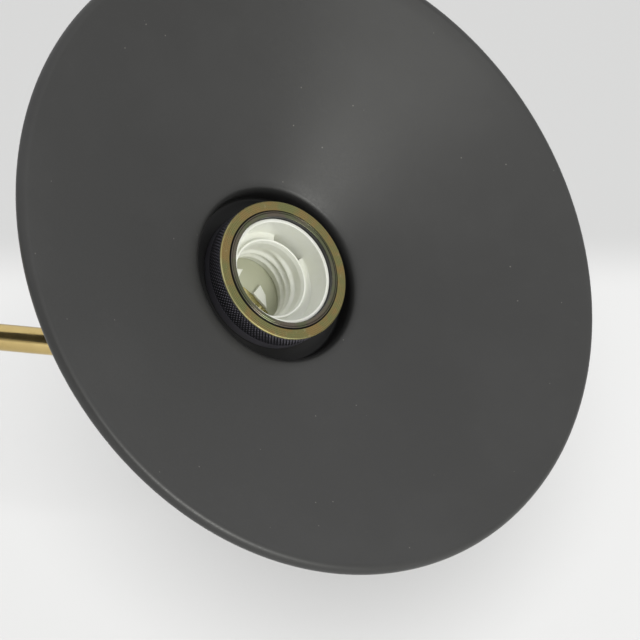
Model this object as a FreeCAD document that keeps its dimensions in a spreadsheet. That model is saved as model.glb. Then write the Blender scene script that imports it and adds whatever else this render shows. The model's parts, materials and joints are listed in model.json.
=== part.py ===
import FreeCAD, Part
import math
import os
import re
import Sketcher

# Wall lamp with a swing arm: a wide shallow shade on a lampholder, a jointed brass arm and a wall cover.
# Row frame: +Z up, the wall is the plane Y = 0, the room lies towards -Y,
# and the origin is the centre of the wall bracket's back face. Sizes in millimetres, angles in degrees.

SIZES = [
    # shade
    ("rim_radius", 115.0, "outside of the rolled rim"),
    ("roll_radius", 2.5, "rim rolled back"),
    ("roll_sweep", 250.0, "how far round the rim is rolled"),
    ("shade_wall", 1.0, "sheet of the shade"),
    ("neck_radius", 31.0, "inside of the neck behind the cone"),
    ("neck_depth", 31.0, "rim plane back to where cone and neck meet"),
    ("neck_bend", 3.3, "front bend from cone to neck"),
    # retaining ring and lampholder
    ("ring_radius", 25.5, "outside of the retaining ring"),
    ("ring_depth", 26.25, "rim plane back to the ring's front face"),
    ("ring_height", 12.45, "ring's front face to the shade's flange"),
    ("ring_edge", 0.35, "small bevels of the ring"),
    ("skirt_radius", 21.6, "threaded skirt of the lampholder"),
    ("skirt_lip", 0.5, "skirt stands in front of the ring"),
    ("insert_sink", 1.9, "insert's edge behind the skirt's lip"),
    ("skirt_bevel", 0.7, "rounded front edge of the skirt"),
    ("thread_play", 0.05, "radial play of threads and pins"),
    ("flange_play", 0.3, "shade flange round the skirt"),
    ("shoulder_radius", 25.0, "shoulder that carries the shade flange"),
    ("shoulder_height", 2.5, "thickness of that shoulder"),
    ("holder_radius", 22.0, "lampholder body"),
    ("holder_bore", 19.55, "bore for the insert"),
    ("holder_straight", 26.6, "straight part of the body behind the shoulder"),
    ("holder_cone", 7.5, "cone behind the straight part"),
    ("holder_boss_length", 5.5, "boss at the back of the lampholder"),
    ("holder_boss_radius", 8.0, "outside of that boss"),
    ("holder_cavity", 16.0, "wiring space behind the insert"),
    ("holder_cavity_length", 7.0, "length of that space"),
    # ceramic insert
    ("insert_play", 0.1, "insert in the lampholder's bore"),
    ("insert_skirt", 1.5, "wall of the insert's skirt"),
    ("insert_length", 35.05, "front edge to back of the insert"),
    ("insert_floor_depth", 10.25, "front edge to the ring-shaped floor"),
    ("tube_bore", 13.5, "root radius of the lamp thread"),
    ("tube_wall", 1.2, "wall of the thread tube"),
    ("lead_in", 0.5, "lead-in at the tube's rim, across"),
    ("lead_in_depth", 1.7, "lead-in along the tube"),
    ("tube_rise", 2.1, "tube stands above the ring-shaped floor"),
    ("base_thickness", 8.8, "base behind the socket's floor"),
    ("ridge_radius", 1.15, "round thread ridge"),
    ("ridge_pitch", 3.63, "pitch of the lamp thread"),
    ("ridge_first", 8.1, "tube rim to the first ridge"),
    ("ridge_count", 3, "visible thread ridges"),
    ("pocket_start", 310.0, "first side of the locking pocket"),
    ("pocket_sweep", 42.0, "width of the locking pocket"),
    ("pocket_depth", 9.0, "depth of the locking pocket"),
    ("pocket_count", 2, "locking pockets"),
    ("block_height", 1.5, "insulating block beside the contact"),
    ("block_near", 1.9, "block's near end along the contact"),
    ("block_far", 9.25, "block's far end along the contact"),
    ("block_slant", 3.75, "slant of that far end"),
    ("block_width", 4.75, "block's wide end"),
    ("block_tip", 3.5, "block's narrow end"),
    ("block_gap", 0.2, "block off the contact"),
    # contacts
    ("contact_angle", 231.0, "direction of the centre contact"),
    ("contact_width", 3.6, "leaf width"),
    ("leaf_thickness", 0.5, "leaf thickness"),
    ("leaf_end", 11.0, "outer end of the centre leaf"),
    ("leaf_bend", 5.0, "start of the raised tongue"),
    ("leaf_tip", 2.2, "tongue reaches past the centre"),
    ("leaf_lift", 0.6, "rise of the tongue"),
    ("leaf_taper", 2.2, "start of the tongue's taper"),
    ("leaf_tip_width", 1.8, "width of the tongue's tip"),
    ("side_leaf_radius", 12.0, "outer face of the side contact"),
    ("side_leaf_foot", 5.5, "inner end of its foot"),
    ("side_leaf_height", 8.5, "height of the side contact"),
    ("side_leaf_width", 4.0, "width of the side contact"),
    ("contact_screw_place", 8.2, "contact screws from the axis"),
    ("contact_screw_shank", 1.0, "contact screw shank"),
    ("contact_screw_length", 4.0, "contact screw in the base"),
    ("contact_screw_gap", 1.0, "hole past the contact screw's end"),
    ("contact_screw_radius", 1.5, "contact screw head"),
    ("contact_screw_height", 0.5, "contact screw head height"),
    ("small_slot", 0.6, "screwdriver slot of the small screws"),
    # husk
    ("husk_wall", 1.2, "husk sheet"),
    ("husk_play", 0.6, "husk inside to neck outside"),
    ("husk_gap", 1.4, "husk edge behind the neck corner"),
    ("husk_back_radius", 15.0, "flat back of the husk"),
    ("husk_dome", 40.0, "radius of the husk's dome"),
    # nipples, nuts and washers on them
    ("nipple_radius", 5.0, "threaded tube"),
    ("nipple_bore", 3.5, "wire way through the threaded tube"),
    ("nipple_engagement", 9.0, "nipple in a knuckle base"),
    ("nipple_gap", 1.0, "space past the nipple's end"),
    ("nipple_proud", 1.0, "nipple's end inside the lampholder's cavity"),
    ("head_base", 13.5, "round base of the head's eye"),
    ("locknut_size", 14.0, "across flats"),
    ("locknut_height", 3.4, "height"),
    ("lockwasher_radius", 8.0, "outside"),
    ("lockwasher_thickness", 0.8, "thickness"),
    ("lockwasher_split", 1.0, "split"),
    # knuckles
    ("knuckle_radius", 8.5, "round end of every fork and eye"),
    ("eye_width", 6.0, "tongue of an eye"),
    ("eye_neck", 12.0, "height of the tongue's straight part"),
    ("washer_thickness", 0.5, "friction washers"),
    ("washer_inset", 0.5, "their edge inside the knuckle's"),
    ("cheek_width", 4.5, "fork cheeks"),
    ("knuckle_relief", 1.0, "eye to the bottom of the slot"),
    ("collar_start", 10.5, "pin axis to the round base of an eye"),
    ("seat_relief", 5.0, "pin axis to the round base of a fork"),
    ("pin_radius", 2.5, "knuckle screws"),
    ("screw_head_radius", 4.5, "knuckle screw head"),
    ("screw_head_height", 2.4, "knuckle screw head"),
    ("screw_slot", 1.1, "screwdriver slot"),
    ("screw_slot_depth", 1.0, "screwdriver slot"),
    ("cap_nut_radius", 4.6, "cap nut"),
    ("cap_nut_height", 3.0, "straight part of the cap nut"),
    ("cap_nut_crown", 3.45, "rounded end of the cap nut"),
    ("thread_end", 4.0, "screw end inside the cap nut"),
    ("thread_gap", 0.5, "screw end to the bottom of the nut's bore"),
    ("edge_round", 0.6, "eased edges of turned brass"),
    ("flange_radius", 13.0, "flange of a knuckle base"),
    ("flange_thickness", 3.0, "thickness of that flange"),
    # arm
    ("tube_radius", 5.0, "arm tube outside"),
    ("tube_sheet", 1.0, "arm tube wall"),
    ("arm_length", 290.0, "lift pin to tilt pin"),
    ("root_collar", 11.5, "length of the collar at the wall end"),
    ("collar_radius", 6.5, "collars at both ends"),
    ("plug_length", 18.0, "plug inside the tube"),
    ("plug_play", 0.05, "plug in the tube"),
    ("fork_base", 17.0, "tilt pin to the back of the swivel fork"),
    ("swivel_collar", 6.5, "front collar of the arm"),
    ("swivel_stem_radius", 3.0, "stem that turns in the arm's bush"),
    ("swivel_stem_length", 18.0, "length of that stem"),
    ("wire_way", 1.6, "bore for the leads"),
    ("groove_depth", 0.6, "stop groove in the stem"),
    ("groove_width", 2.4, "stop groove in the stem"),
    ("setscrew_radius", 0.8, "stop screw that runs in the groove"),
    ("setscrew_tip", 0.15, "its tip off the groove's bottom"),
    ("setscrew_sink", 0.3, "its back inside the collar"),
    ("setscrew_slot", 0.4, "its screwdriver slot"),
    ("setscrew_slot_depth", 0.5, "its screwdriver slot"),
    ("swivel_limit", 150.0, "turn to each side before the stop"),
    ("stop_play", 0.5, "angle left between the stop screw and the groove's end"),
    # wall side
    ("bracket_end", 10.0, "wall screw slots to the bracket's ends"),
    ("bracket_width", 24.0, "wall bracket along Z"),
    ("bracket_thickness", 2.0, "steel strap"),
    ("tab_width", 28.0, "upright tab"),
    ("tab_top", 38.0, "top of the upright tab"),
    ("slot_spacing", 60.0, "wall screw slots"),
    ("slot_length", 12.0, "wall screw slots"),
    ("slot_radius", 2.4, "wall screw slots"),
    ("cover_radius", 50.0, "wall cover"),
    ("cover_depth", 22.0, "wall cover"),
    ("cover_wall", 1.2, "wall cover"),
    ("cover_corner", 5.0, "rounded front edge"),
    ("cover_screw_spacing", 80.0, "screws that hold the cover"),
    ("cover_screw_radius", 2.0, "screws that hold the cover"),
    ("cover_head_radius", 5.0, "knurled heads"),
    ("cover_head_height", 4.0, "knurled heads"),
    ("hole_play", 0.3, "clearance holes"),
    ("wall_gap", 0.2, "cover, nipple and screw ends off the wall"),
    ("swing_reach", 22.0, "cover front to the swing pin"),
    ("link_length", 30.0, "swing pin to lift pin"),
    ("earth_place", 17.0, "earth screw along X"),
    ("earth_rise", 7.0, "earth screw above the centre"),
    ("earth_radius", 2.0, "earth screw"),
    ("earth_head_radius", 3.6, "earth screw head"),
    ("earth_head_height", 2.4, "earth screw head"),
    # terminal block
    ("terminal_width", 24.0, "along X"),
    ("terminal_depth", 12.0, "away from the wall"),
    ("terminal_height", 16.0, "along Z"),
    ("terminal_foot", 18.0, "bottom of the block above the centre"),
    ("terminal_pitch", 12.0, "between the two ways"),
    ("terminal_bore", 1.8, "wire entries"),
    ("terminal_entry", 4.2, "wire entries off the strap"),
    ("terminal_well", 2.6, "screw wells"),
    ("terminal_well_depth", 4.0, "screw wells"),
    ("terminal_shank", 1.4, "clamping screw shank"),
    ("terminal_head", 2.3, "clamping screw head"),
    ("terminal_head_height", 2.0, "clamping screw head"),
    # toggle switch
    ("switch_drop", 30.0, "switch below the centre"),
    ("switch_width", 18.0, "along X"),
    ("switch_height", 14.0, "along Z"),
    ("switch_depth", 15.0, "behind the cover"),
    ("bush_radius", 5.9, "threaded bush"),
    ("bush_length", 8.0, "bush in front of the cover"),
    ("bush_bore", 2.5, "seat of the lever's ball"),
    ("bush_floor", 0.6, "space behind the ball"),
    ("bush_seat", 1.0, "straight seat in front of the pivot"),
    ("bush_mouth", 3.6, "mouth of the bush"),
    ("switch_nut_size", 16.0, "across flats"),
    ("switch_nut_height", 2.2, "height"),
    ("lever_pivot", 2.5, "lever's pivot in front of the cover"),
    ("lever_ball", 2.4, "lever's ball"),
    ("lever_root", 1.2, "lever at the ball"),
    ("lever_tip", 2.2, "lever at its tip"),
    ("lever_length", 19.0, "pivot to the centre of the tip"),
    # rest pose
    ("droop_angle", 10.0, "arm below the horizontal"),
    ("swivel_angle", 43.25, "tilt pin turned about the arm"),
    ("tilt_angle", 71.5, "shade axis away from the arm"),
    ("hinge_to_rim", 124.8, "tilt pin to the rim plane"),
    ("lever_angle", 13.0, "lever below its middle"),
]

doc = FreeCAD.newDocument("WallLamp")
book = doc.addObject("Spreadsheet::Sheet", "Sizes")
for row, (alias, value, note) in enumerate(SIZES, 1):
    book.set("A%d" % row, alias)
    book.set("B%d" % row, "%g" % value)
    book.set("C%d" % row, note)
    book.setAlias("B%d" % row, alias)
doc.recompute()

ALIASES = {alias for alias, value, note in SIZES}
SUBPARTS = []


def bound(text):
    """An expression that reads every alias in text from the sheet."""
    return re.sub(r"[a-z_]+", lambda word: "Sizes." + word[0] if word[0] in ALIASES else word[0], str(text))


def size(text):
    """The present value of an expression of aliases."""
    return float(book.evalExpression(bound(text)))


# Places along the axes that several pieces share, as expressions of the sizes

# how far a cut runs past the material
PAST = "1"
# a screwdriver slot takes a third of its screw's head
SLOT_SHARE = "3"
SLOT_BOTTOM = "(knuckle_radius + knuckle_relief)"
SLOT_HALF = "(eye_width / 2 + washer_thickness)"
FORK_HALF = "(eye_width / 2 + washer_thickness + cheek_width)"
NECK_PLANE = "(hinge_to_rim - neck_depth)"
RING_FRONT = "(hinge_to_rim - ring_depth)"
FLANGE_FRONT = "(hinge_to_rim - ring_depth - ring_height)"
SHOULDER = "(hinge_to_rim - ring_depth - ring_height - shade_wall)"
INSERT_FRONT = "(hinge_to_rim - ring_depth + skirt_lip - insert_sink)"
INSERT_BACK = "(%s - insert_length)" % INSERT_FRONT
RING_FLOOR = "(%s - insert_floor_depth)" % INSERT_FRONT
TUBE_RIM = "(%s + tube_rise)" % RING_FLOOR
SOCKET_FLOOR = "(%s + base_thickness)" % INSERT_BACK
HOLDER_CONE_FRONT = "(%s - shoulder_height - holder_straight)" % SHOULDER
HOLDER_BOSS_FRONT = "(%s - holder_cone)" % HOLDER_CONE_FRONT
HOLDER_BACK = "(%s - holder_boss_length)" % HOLDER_BOSS_FRONT
HUSK_RADIUS = "(neck_radius + shade_wall + husk_play + husk_wall)"
HUSK_BACK = "(collar_start + head_base)"
COVER_BACK_OF_FRONT = "(cover_depth - cover_wall)"
WELL_FLOOR = "(bracket_thickness + terminal_depth - terminal_well_depth)"


def body(label):
    """A new sub-part made of sketched features."""
    piece = doc.addObject("PartDesign::Body", label)
    piece.Label = label
    SUBPARTS.append(piece)
    return piece


def place(piece, placement):
    piece.Placement = placement
    return piece


def sketch_on(piece, role, offset="0"):
    """A sketch on one of the body's own origin planes, moved along the plane's normal."""
    plane = [item for item in piece.Origin.OriginFeatures if item.Role == role][0]
    sketch = piece.newObject("Sketcher::SketchObject", piece.Name + "_sketch")
    sketch.AttachmentSupport = [(plane, "")]
    sketch.MapMode = "FlatFace"
    sketch.setExpression("AttachmentOffset.Base.z", bound(offset))
    return sketch


def pin(sketch, curve, point, across, up, both=True):
    """Bind a point of a curve to two expressions, or to the one that both leaves."""
    for kind, axis, text in (("DistanceX", -2, across), ("DistanceY", -1, up)):
        if both is not True and both != kind:
            continue
        if text == "0":
            sketch.addConstraint(Sketcher.Constraint("PointOnObject", curve, point, axis))
            continue
        index = sketch.addConstraint(Sketcher.Constraint(kind, -1, 1, curve, point, size(text)))
        sketch.setExpression("Constraints[%d]" % index, bound(text))


def circle(sketch, across, up, radius):
    """A circle whose centre and radius follow expressions."""
    centre = FreeCAD.Vector(size(across), size(up), 0)
    curve = sketch.addGeometry(Part.Circle(centre, FreeCAD.Vector(0, 0, 1), size(radius)), False)
    if across == "0" and up == "0":
        sketch.addConstraint(Sketcher.Constraint("Coincident", curve, 3, -1, 1))
    else:
        pin(sketch, curve, 3, across, up)
    index = sketch.addConstraint(Sketcher.Constraint("Radius", curve, size(radius)))
    sketch.setExpression("Constraints[%d]" % index, bound(radius))
    return curve


def outline(sketch, steps):
    """A closed outline. A step is (x, y), or (x, y, centre x, centre y, turn) for an arc that ends there.

    turn is 1 for an anticlockwise arc and -1 for a clockwise one.
    """
    normal = FreeCAD.Vector(0, 0, 1)
    places = [FreeCAD.Vector(size(step[0]), size(step[1]), 0) for step in steps]
    curves = []
    for index, step in enumerate(steps):
        start, end = places[index - 1], places[index]
        if len(step) == 2:
            curves.append((sketch.addGeometry(Part.LineSegment(start, end), False), 1, 2))
            continue
        centre = FreeCAD.Vector(size(step[2]), size(step[3]), 0)
        first, last = (start, end) if step[4] > 0 else (end, start)
        angles = [math.atan2((spot - centre).y, (spot - centre).x) for spot in (first, last)]
        if angles[1] < angles[0]:
            angles[1] += 2 * math.pi
        arc = Part.ArcOfCircle(Part.Circle(centre, normal, (start - centre).Length), angles[0], angles[1])
        curve = sketch.addGeometry(arc, False)
        curves.append((curve, 1, 2) if step[4] > 0 else (curve, 2, 1))
    for index, (curve, head, tail) in enumerate(curves):
        before = curves[index - 1]
        sketch.addConstraint(Sketcher.Constraint("Coincident", before[0], before[2], curve, head))
    for index, step in enumerate(steps):
        curve, head, tail = curves[index]
        if len(step) == 2:
            pin(sketch, curve, tail, step[0], step[1])
            continue
        pin(sketch, curve, 3, step[2], step[3])
        spoke = places[index] - FreeCAD.Vector(size(step[2]), size(step[3]), 0)
        bound_side = "DistanceX" if abs(spoke.y) > abs(spoke.x) else "DistanceY"
        pin(sketch, curve, tail, step[0], step[1], bound_side)
    return sketch


def rectangle(sketch, left, right, low, high):
    return outline(sketch, [(left, low), (right, low), (right, high), (left, high)])


def turned(piece, steps, cut=False, sweep="360 deg"):
    """Turn an outline of (radius, height) steps about the body's Z axis."""
    sketch = outline(sketch_on(piece, "XZ_Plane"), steps)
    return turn(piece, sketch, cut, sweep)


def turn(piece, sketch, cut=False, sweep="360 deg"):
    """Turn a sketch about Z, evenly to both sides of its plane when the sweep is less than a full turn."""
    feature = piece.newObject("PartDesign::Groove" if cut else "PartDesign::Revolution", piece.Name + "_turn")
    feature.Profile = sketch
    feature.ReferenceAxis = (sketch, ["V_Axis"])
    feature.setExpression("Angle", bound(sweep))
    feature.Midplane = sweep != "360 deg"
    doc.recompute()
    return feature


def pad(piece, sketch, length, middle=False, back=False):
    """Add material: towards the sketch's normal, against it (back), or both ways (middle)."""
    feature = piece.newObject("PartDesign::Pad", piece.Name + "_pad")
    feature.Profile = sketch
    feature.setExpression("Length", bound(length))
    if middle:
        feature.SideType = "Symmetric"
    feature.Reversed = back
    doc.recompute()
    return feature


def pocket(piece, sketch, length, middle=False, back=False):
    """Cut material: against the sketch's normal, along it (back), or both ways (middle)."""
    before = piece.Shape.Volume
    feature = piece.newObject("PartDesign::Pocket", piece.Name + "_pocket")
    feature.Profile = sketch
    feature.setExpression("Length", bound(length))
    if middle:
        feature.SideType = "Symmetric"
    feature.Reversed = back
    doc.recompute()
    if feature.Shape.Volume > before - 1e-3:
        raise RuntimeError(piece.Label + ": a pocket cut nothing")
    return feature


def hexagon(sketch, across, up, flats):
    """A regular hexagon with two flats upright, across flats wide."""
    corner = "(%s) / 2 / cos(30 deg)" % flats
    steps = []
    for index in range(6):
        angle = 30 + 60 * index
        right = "%s + %s * cos(%d deg)" % (across, corner, angle)
        above = "%s + %s * sin(%d deg)" % (up, corner, angle)
        steps.append((right, above))
    return outline(sketch, steps)


def round_edges(piece, feature, rings, radius, kind="Fillet"):
    """Round or bevel the circular edges of (radius, height) rings about the body's Z axis."""
    wanted = [(size(ring), size(height)) for ring, height in rings]
    names = []
    for index, edge in enumerate(feature.Shape.Edges, 1):
        curve = edge.Curve
        if not isinstance(curve, Part.Circle) or abs(abs(curve.Axis.z) - 1) > 1e-6:
            continue
        found = (curve.Radius, curve.Center.z)
        if any(math.dist(found, ring) < 1e-4 for ring in wanted):
            names.append("Edge%d" % index)
    if len(names) < len(rings):
        raise RuntimeError(piece.Label + ": an edge to ease is missing")
    ease = piece.newObject("PartDesign::" + kind, piece.Name + "_ease")
    ease.Base = (feature, names)
    ease.setExpression("Size" if kind == "Chamfer" else "Radius", bound(radius))
    doc.recompute()
    return ease


def pattern_about_axis(piece, originals, count):
    axis = [item for item in piece.Origin.OriginFeatures if item.Role == "Z_Axis"][0]
    feature = piece.newObject("PartDesign::PolarPattern", piece.Name + "_pattern")
    feature.Originals = originals
    feature.Axis = (axis, [""])
    feature.Angle = 360
    feature.setExpression("Occurrences", bound(count))
    piece.Tip = feature
    doc.recompute()
    return feature


def pattern_along_axis(piece, originals, count, pitch):
    axis = [item for item in piece.Origin.OriginFeatures if item.Role == "Z_Axis"][0]
    feature = piece.newObject("PartDesign::LinearPattern", piece.Name + "_pattern")
    feature.Originals = originals
    feature.Direction = (axis, [""])
    feature.Reversed = True
    feature.setExpression("Length", bound("(%s) * ((%s) - 1)" % (pitch, count)))
    feature.setExpression("Occurrences", bound(count))
    piece.Tip = feature
    doc.recompute()
    return feature


# Frames of the moving bodies at rest

X_AXIS = FreeCAD.Vector(1, 0, 0)
Y_AXIS = FreeCAD.Vector(0, 1, 0)
Z_AXIS = FreeCAD.Vector(0, 0, 1)


def turn_about(axis, angle):
    return FreeCAD.Placement(FreeCAD.Vector(), FreeCAD.Rotation(axis, angle))


def shift(x, y, z):
    return FreeCAD.Placement(FreeCAD.Vector(size(x), size(y), size(z)), FreeCAD.Rotation())


# Z of this frame points out of the wall and X stays level
ROOM = turn_about(X_AXIS, 90)
SWING = shift("0", "-(cover_depth + swing_reach)", "0").multiply(ROOM)
# the swing knuckle's pin stands upright
SWING_UPRIGHT = SWING.multiply(turn_about(Z_AXIS, 90))
LIFT = SWING.multiply(shift("0", "0", "link_length"))
ARM = LIFT.multiply(turn_about(X_AXIS, size("droop_angle")))
ARM_END = ARM.multiply(shift("0", "0", "arm_length"))
SWIVEL = ARM_END.multiply(turn_about(Z_AXIS, size("swivel_angle")))
HEAD = SWIVEL.multiply(turn_about(X_AXIS, -size("tilt_angle")))
SWITCH = shift("0", "-cover_depth", "-switch_drop").multiply(ROOM)


# Knuckles: forks, eyes, their screws, nuts and washers. The pin runs along X through the origin.

def fork_head(piece, base_radius, base_end):
    """Two round cheeks on a round base that ends at -base_end."""
    disc = sketch_on(piece, "YZ_Plane")
    circle(disc, "0", "0", "knuckle_radius")
    pad(piece, disc, "2 * " + FORK_HALF, middle=True)
    base = sketch_on(piece, "XY_Plane", "-seat_relief")
    circle(base, "0", "0", base_radius)
    pad(piece, base, "%s - seat_relief" % base_end, back=True)
    slot = sketch_on(piece, "XZ_Plane")
    rectangle(slot, "-" + SLOT_HALF, SLOT_HALF, "-" + SLOT_BOTTOM, "knuckle_radius + " + PAST)
    pocket(piece, slot, "2 * (knuckle_radius + %s)" % PAST, middle=True)
    bore = sketch_on(piece, "YZ_Plane")
    circle(bore, "0", "0", "pin_radius + thread_play")
    pocket(piece, bore, "2 * (%s + %s)" % (FORK_HALF, PAST), middle=True)


def eye_head(piece, base_radius, base_end):
    """A round tongue on a round base that starts at collar_start and ends at base_end."""
    disc = sketch_on(piece, "YZ_Plane")
    circle(disc, "0", "0", "knuckle_radius")
    pad(piece, disc, "eye_width", middle=True)
    neck = sketch_on(piece, "YZ_Plane")
    rectangle(neck, "-eye_neck / 2", "eye_neck / 2", "0", "collar_start")
    pad(piece, neck, "eye_width", middle=True)
    base = sketch_on(piece, "XY_Plane", "collar_start")
    circle(base, "0", "0", base_radius)
    pad(piece, base, "%s - collar_start" % base_end)
    bore = sketch_on(piece, "YZ_Plane")
    circle(bore, "0", "0", "pin_radius + thread_play")
    pocket(piece, bore, "eye_width + 2 * " + PAST, middle=True)


def knuckle_screw(label, frame):
    """A slotted screw: its head on one cheek, its thread past the other."""
    piece = body(label)
    steps = [
        ("0", "-(%s + thread_end)" % FORK_HALF),
        ("pin_radius", "-(%s + thread_end)" % FORK_HALF),
        ("pin_radius", FORK_HALF),
        ("screw_head_radius", FORK_HALF),
        ("screw_head_radius", "%s + screw_head_height" % FORK_HALF),
        ("0", "%s + screw_head_height" % FORK_HALF),
    ]
    blank = turned(piece, steps)
    round_edges(piece, blank, [("screw_head_radius", "%s + screw_head_height" % FORK_HALF)], "edge_round")
    slot = sketch_on(piece, "XY_Plane", "%s + screw_head_height" % FORK_HALF)
    reach = "(screw_head_radius + %s)" % PAST
    rectangle(slot, "-screw_slot / 2", "screw_slot / 2", "-" + reach, reach)
    pocket(piece, slot, "screw_slot_depth")
    return place(piece, frame.multiply(turn_about(Y_AXIS, 90)))


def knuckle_nut(label, frame):
    """A round cap nut over the screw's end."""
    piece = body(label)
    top = "(%s + cap_nut_height)" % FORK_HALF
    bottom = "%s + thread_end + thread_gap" % FORK_HALF
    # the crown is a cap of the sphere through the nut's edge
    crown_centre = "%s - (cap_nut_radius^2 - cap_nut_crown^2) / (2 * cap_nut_crown)" % top
    steps = [
        ("pin_radius + thread_play", FORK_HALF),
        ("cap_nut_radius", FORK_HALF),
        ("cap_nut_radius", top),
        ("0", "%s + cap_nut_crown" % top, "0", crown_centre, 1),
        ("0", bottom),
        ("pin_radius + thread_play", bottom),
    ]
    turned(piece, steps)
    return place(piece, frame.multiply(turn_about(Y_AXIS, -90)))


def friction_washers(label, frame):
    """Two thin washers, one on each side of the eye."""
    piece = doc.addObject("Part::Feature", label)
    piece.Label = label
    outer, inner = size("knuckle_radius - washer_inset"), size("pin_radius + 2 * thread_play")
    thick = size("washer_thickness")
    rings = []
    for start in (size("eye_width / 2"), -size("eye_width / 2 + washer_thickness")):
        foot = FreeCAD.Vector(start, 0, 0)
        hole = Part.makeCylinder(inner, thick, foot, X_AXIS)
        rings.append(Part.makeCylinder(outer, thick, foot, X_AXIS).cut(hole))
    piece.Shape = Part.makeCompound(rings)
    SUBPARTS.append(piece)
    return place(piece, frame)


def knuckle_fittings(name, frame):
    knuckle_screw(name + "_screw", frame)
    knuckle_nut(name + "_cap_nut", frame)
    friction_washers(name + "_washers", frame)


def nipple(label, frame, start, end):
    """A threaded tube from start to end along Z."""
    piece = body(label)
    steps = [("nipple_bore", start), ("nipple_radius", start), ("nipple_radius", end), ("nipple_bore", end)]
    turned(piece, steps)
    return place(piece, frame)


def lock_nut(label, frame, start):
    """A hexagon nut on a nipple, its back at start."""
    piece = body(label)
    blank = hexagon(sketch_on(piece, "XY_Plane", start), "0", "0", "locknut_size")
    pad(piece, blank, "locknut_height")
    bore = sketch_on(piece, "XY_Plane", "%s + locknut_height" % start)
    circle(bore, "0", "0", "nipple_radius + thread_play")
    pocket(piece, bore, "locknut_height")
    return place(piece, frame)


def lock_washer(label, frame, start):
    """A split spring washer on a nipple, its back at start."""
    piece = body(label)
    inner = "nipple_radius + 2 * thread_play"
    end = "%s + lockwasher_thickness" % start
    turned(piece, [(inner, start), ("lockwasher_radius", start), ("lockwasher_radius", end), (inner, end)])
    split = sketch_on(piece, "XY_Plane", end)
    half = "lockwasher_split / 2"
    rectangle(split, "nipple_radius - " + PAST, "lockwasher_radius + " + PAST, "-" + half, half)
    pocket(piece, split, "lockwasher_thickness")
    return place(piece, frame)


# Wall side

def wall_bracket():
    """A steel strap with wall screw slots, a tapped centre and an upright tab."""
    piece = body("wall_bracket")
    strap = sketch_on(piece, "XZ_Plane")
    half, rise = "(slot_spacing / 2 + slot_length / 2 + bracket_end)", "bracket_width / 2"
    rectangle(strap, "-" + half, half, "-" + rise, rise)
    pad(piece, strap, "bracket_thickness")
    tab = sketch_on(piece, "XZ_Plane")
    rectangle(tab, "-tab_width / 2", "tab_width / 2", "0", "tab_top")
    pad(piece, tab, "bracket_thickness")
    for side in ("-", ""):
        slot = sketch_on(piece, "XZ_Plane")
        near = "(%sslot_spacing / 2 - slot_length / 2 + slot_radius)" % side
        far = "(%sslot_spacing / 2 + slot_length / 2 - slot_radius)" % side
        steps = [
            (near, "-slot_radius", near, "0", 1),
            (far, "-slot_radius"),
            (far, "slot_radius", far, "0", 1),
            (near, "slot_radius"),
        ]
        outline(slot, steps)
        pocket(piece, slot, "bracket_thickness", back=True)
    holes = sketch_on(piece, "XZ_Plane")
    circle(holes, "0", "0", "nipple_radius + thread_play")
    circle(holes, "-cover_screw_spacing / 2", "0", "cover_screw_radius + thread_play")
    circle(holes, "cover_screw_spacing / 2", "0", "cover_screw_radius + thread_play")
    circle(holes, "earth_place", "earth_rise", "earth_radius + thread_play")
    pocket(piece, holes, "bracket_thickness", back=True)
    return piece


def canopy():
    """The round wall cover: a shallow dish, open towards the wall."""
    piece = body("canopy")
    inner = "cover_radius - cover_wall"
    steps = [
        ("0", "cover_depth"),
        ("0", COVER_BACK_OF_FRONT),
        (inner, COVER_BACK_OF_FRONT),
        (inner, "wall_gap"),
        ("cover_radius", "wall_gap"),
        ("cover_radius", "cover_depth"),
    ]
    dish = turned(piece, steps)
    outer = round_edges(piece, dish, [("cover_radius", "cover_depth")], "cover_corner")
    round_edges(piece, outer, [(inner, COVER_BACK_OF_FRONT)], "cover_corner - cover_wall")
    holes = sketch_on(piece, "XY_Plane", "cover_depth")
    circle(holes, "0", "0", "nipple_radius + hole_play")
    circle(holes, "-cover_screw_spacing / 2", "0", "cover_screw_radius + hole_play")
    circle(holes, "cover_screw_spacing / 2", "0", "cover_screw_radius + hole_play")
    circle(holes, "0", "-switch_drop", "bush_radius + thread_play")
    pocket(piece, holes, "cover_wall")
    return place(piece, ROOM)


def screw_group(label, frame, spots, shank, head, head_height, start, end, slot_width="screw_slot"):
    """Equal slotted screws as one group of solids: shank from start to end along Z, head past end."""
    piece = doc.addObject("Part::Feature", label)
    piece.Label = label
    solids = []
    for across, up in spots:
        foot = FreeCAD.Vector(size(across), size(up), size(start))
        top = FreeCAD.Vector(size(across), size(up), size(end))
        screw = Part.makeCylinder(size(shank), size(end) - size(start), foot)
        screw = screw.fuse(Part.makeCylinder(size(head), size(head_height), top)).removeSplitter()
        width, depth = size(slot_width), size("%s / %s" % (head_height, SLOT_SHARE))
        past = size(PAST)
        groove = Part.makeBox(width, 2 * (size(head) + past), depth + past)
        groove.translate(top + FreeCAD.Vector(-width / 2, -size(head) - past, size(head_height) - depth))
        solids.append(screw.cut(groove))
    piece.Shape = Part.makeCompound(solids)
    SUBPARTS.append(piece)
    return place(piece, frame)


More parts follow.
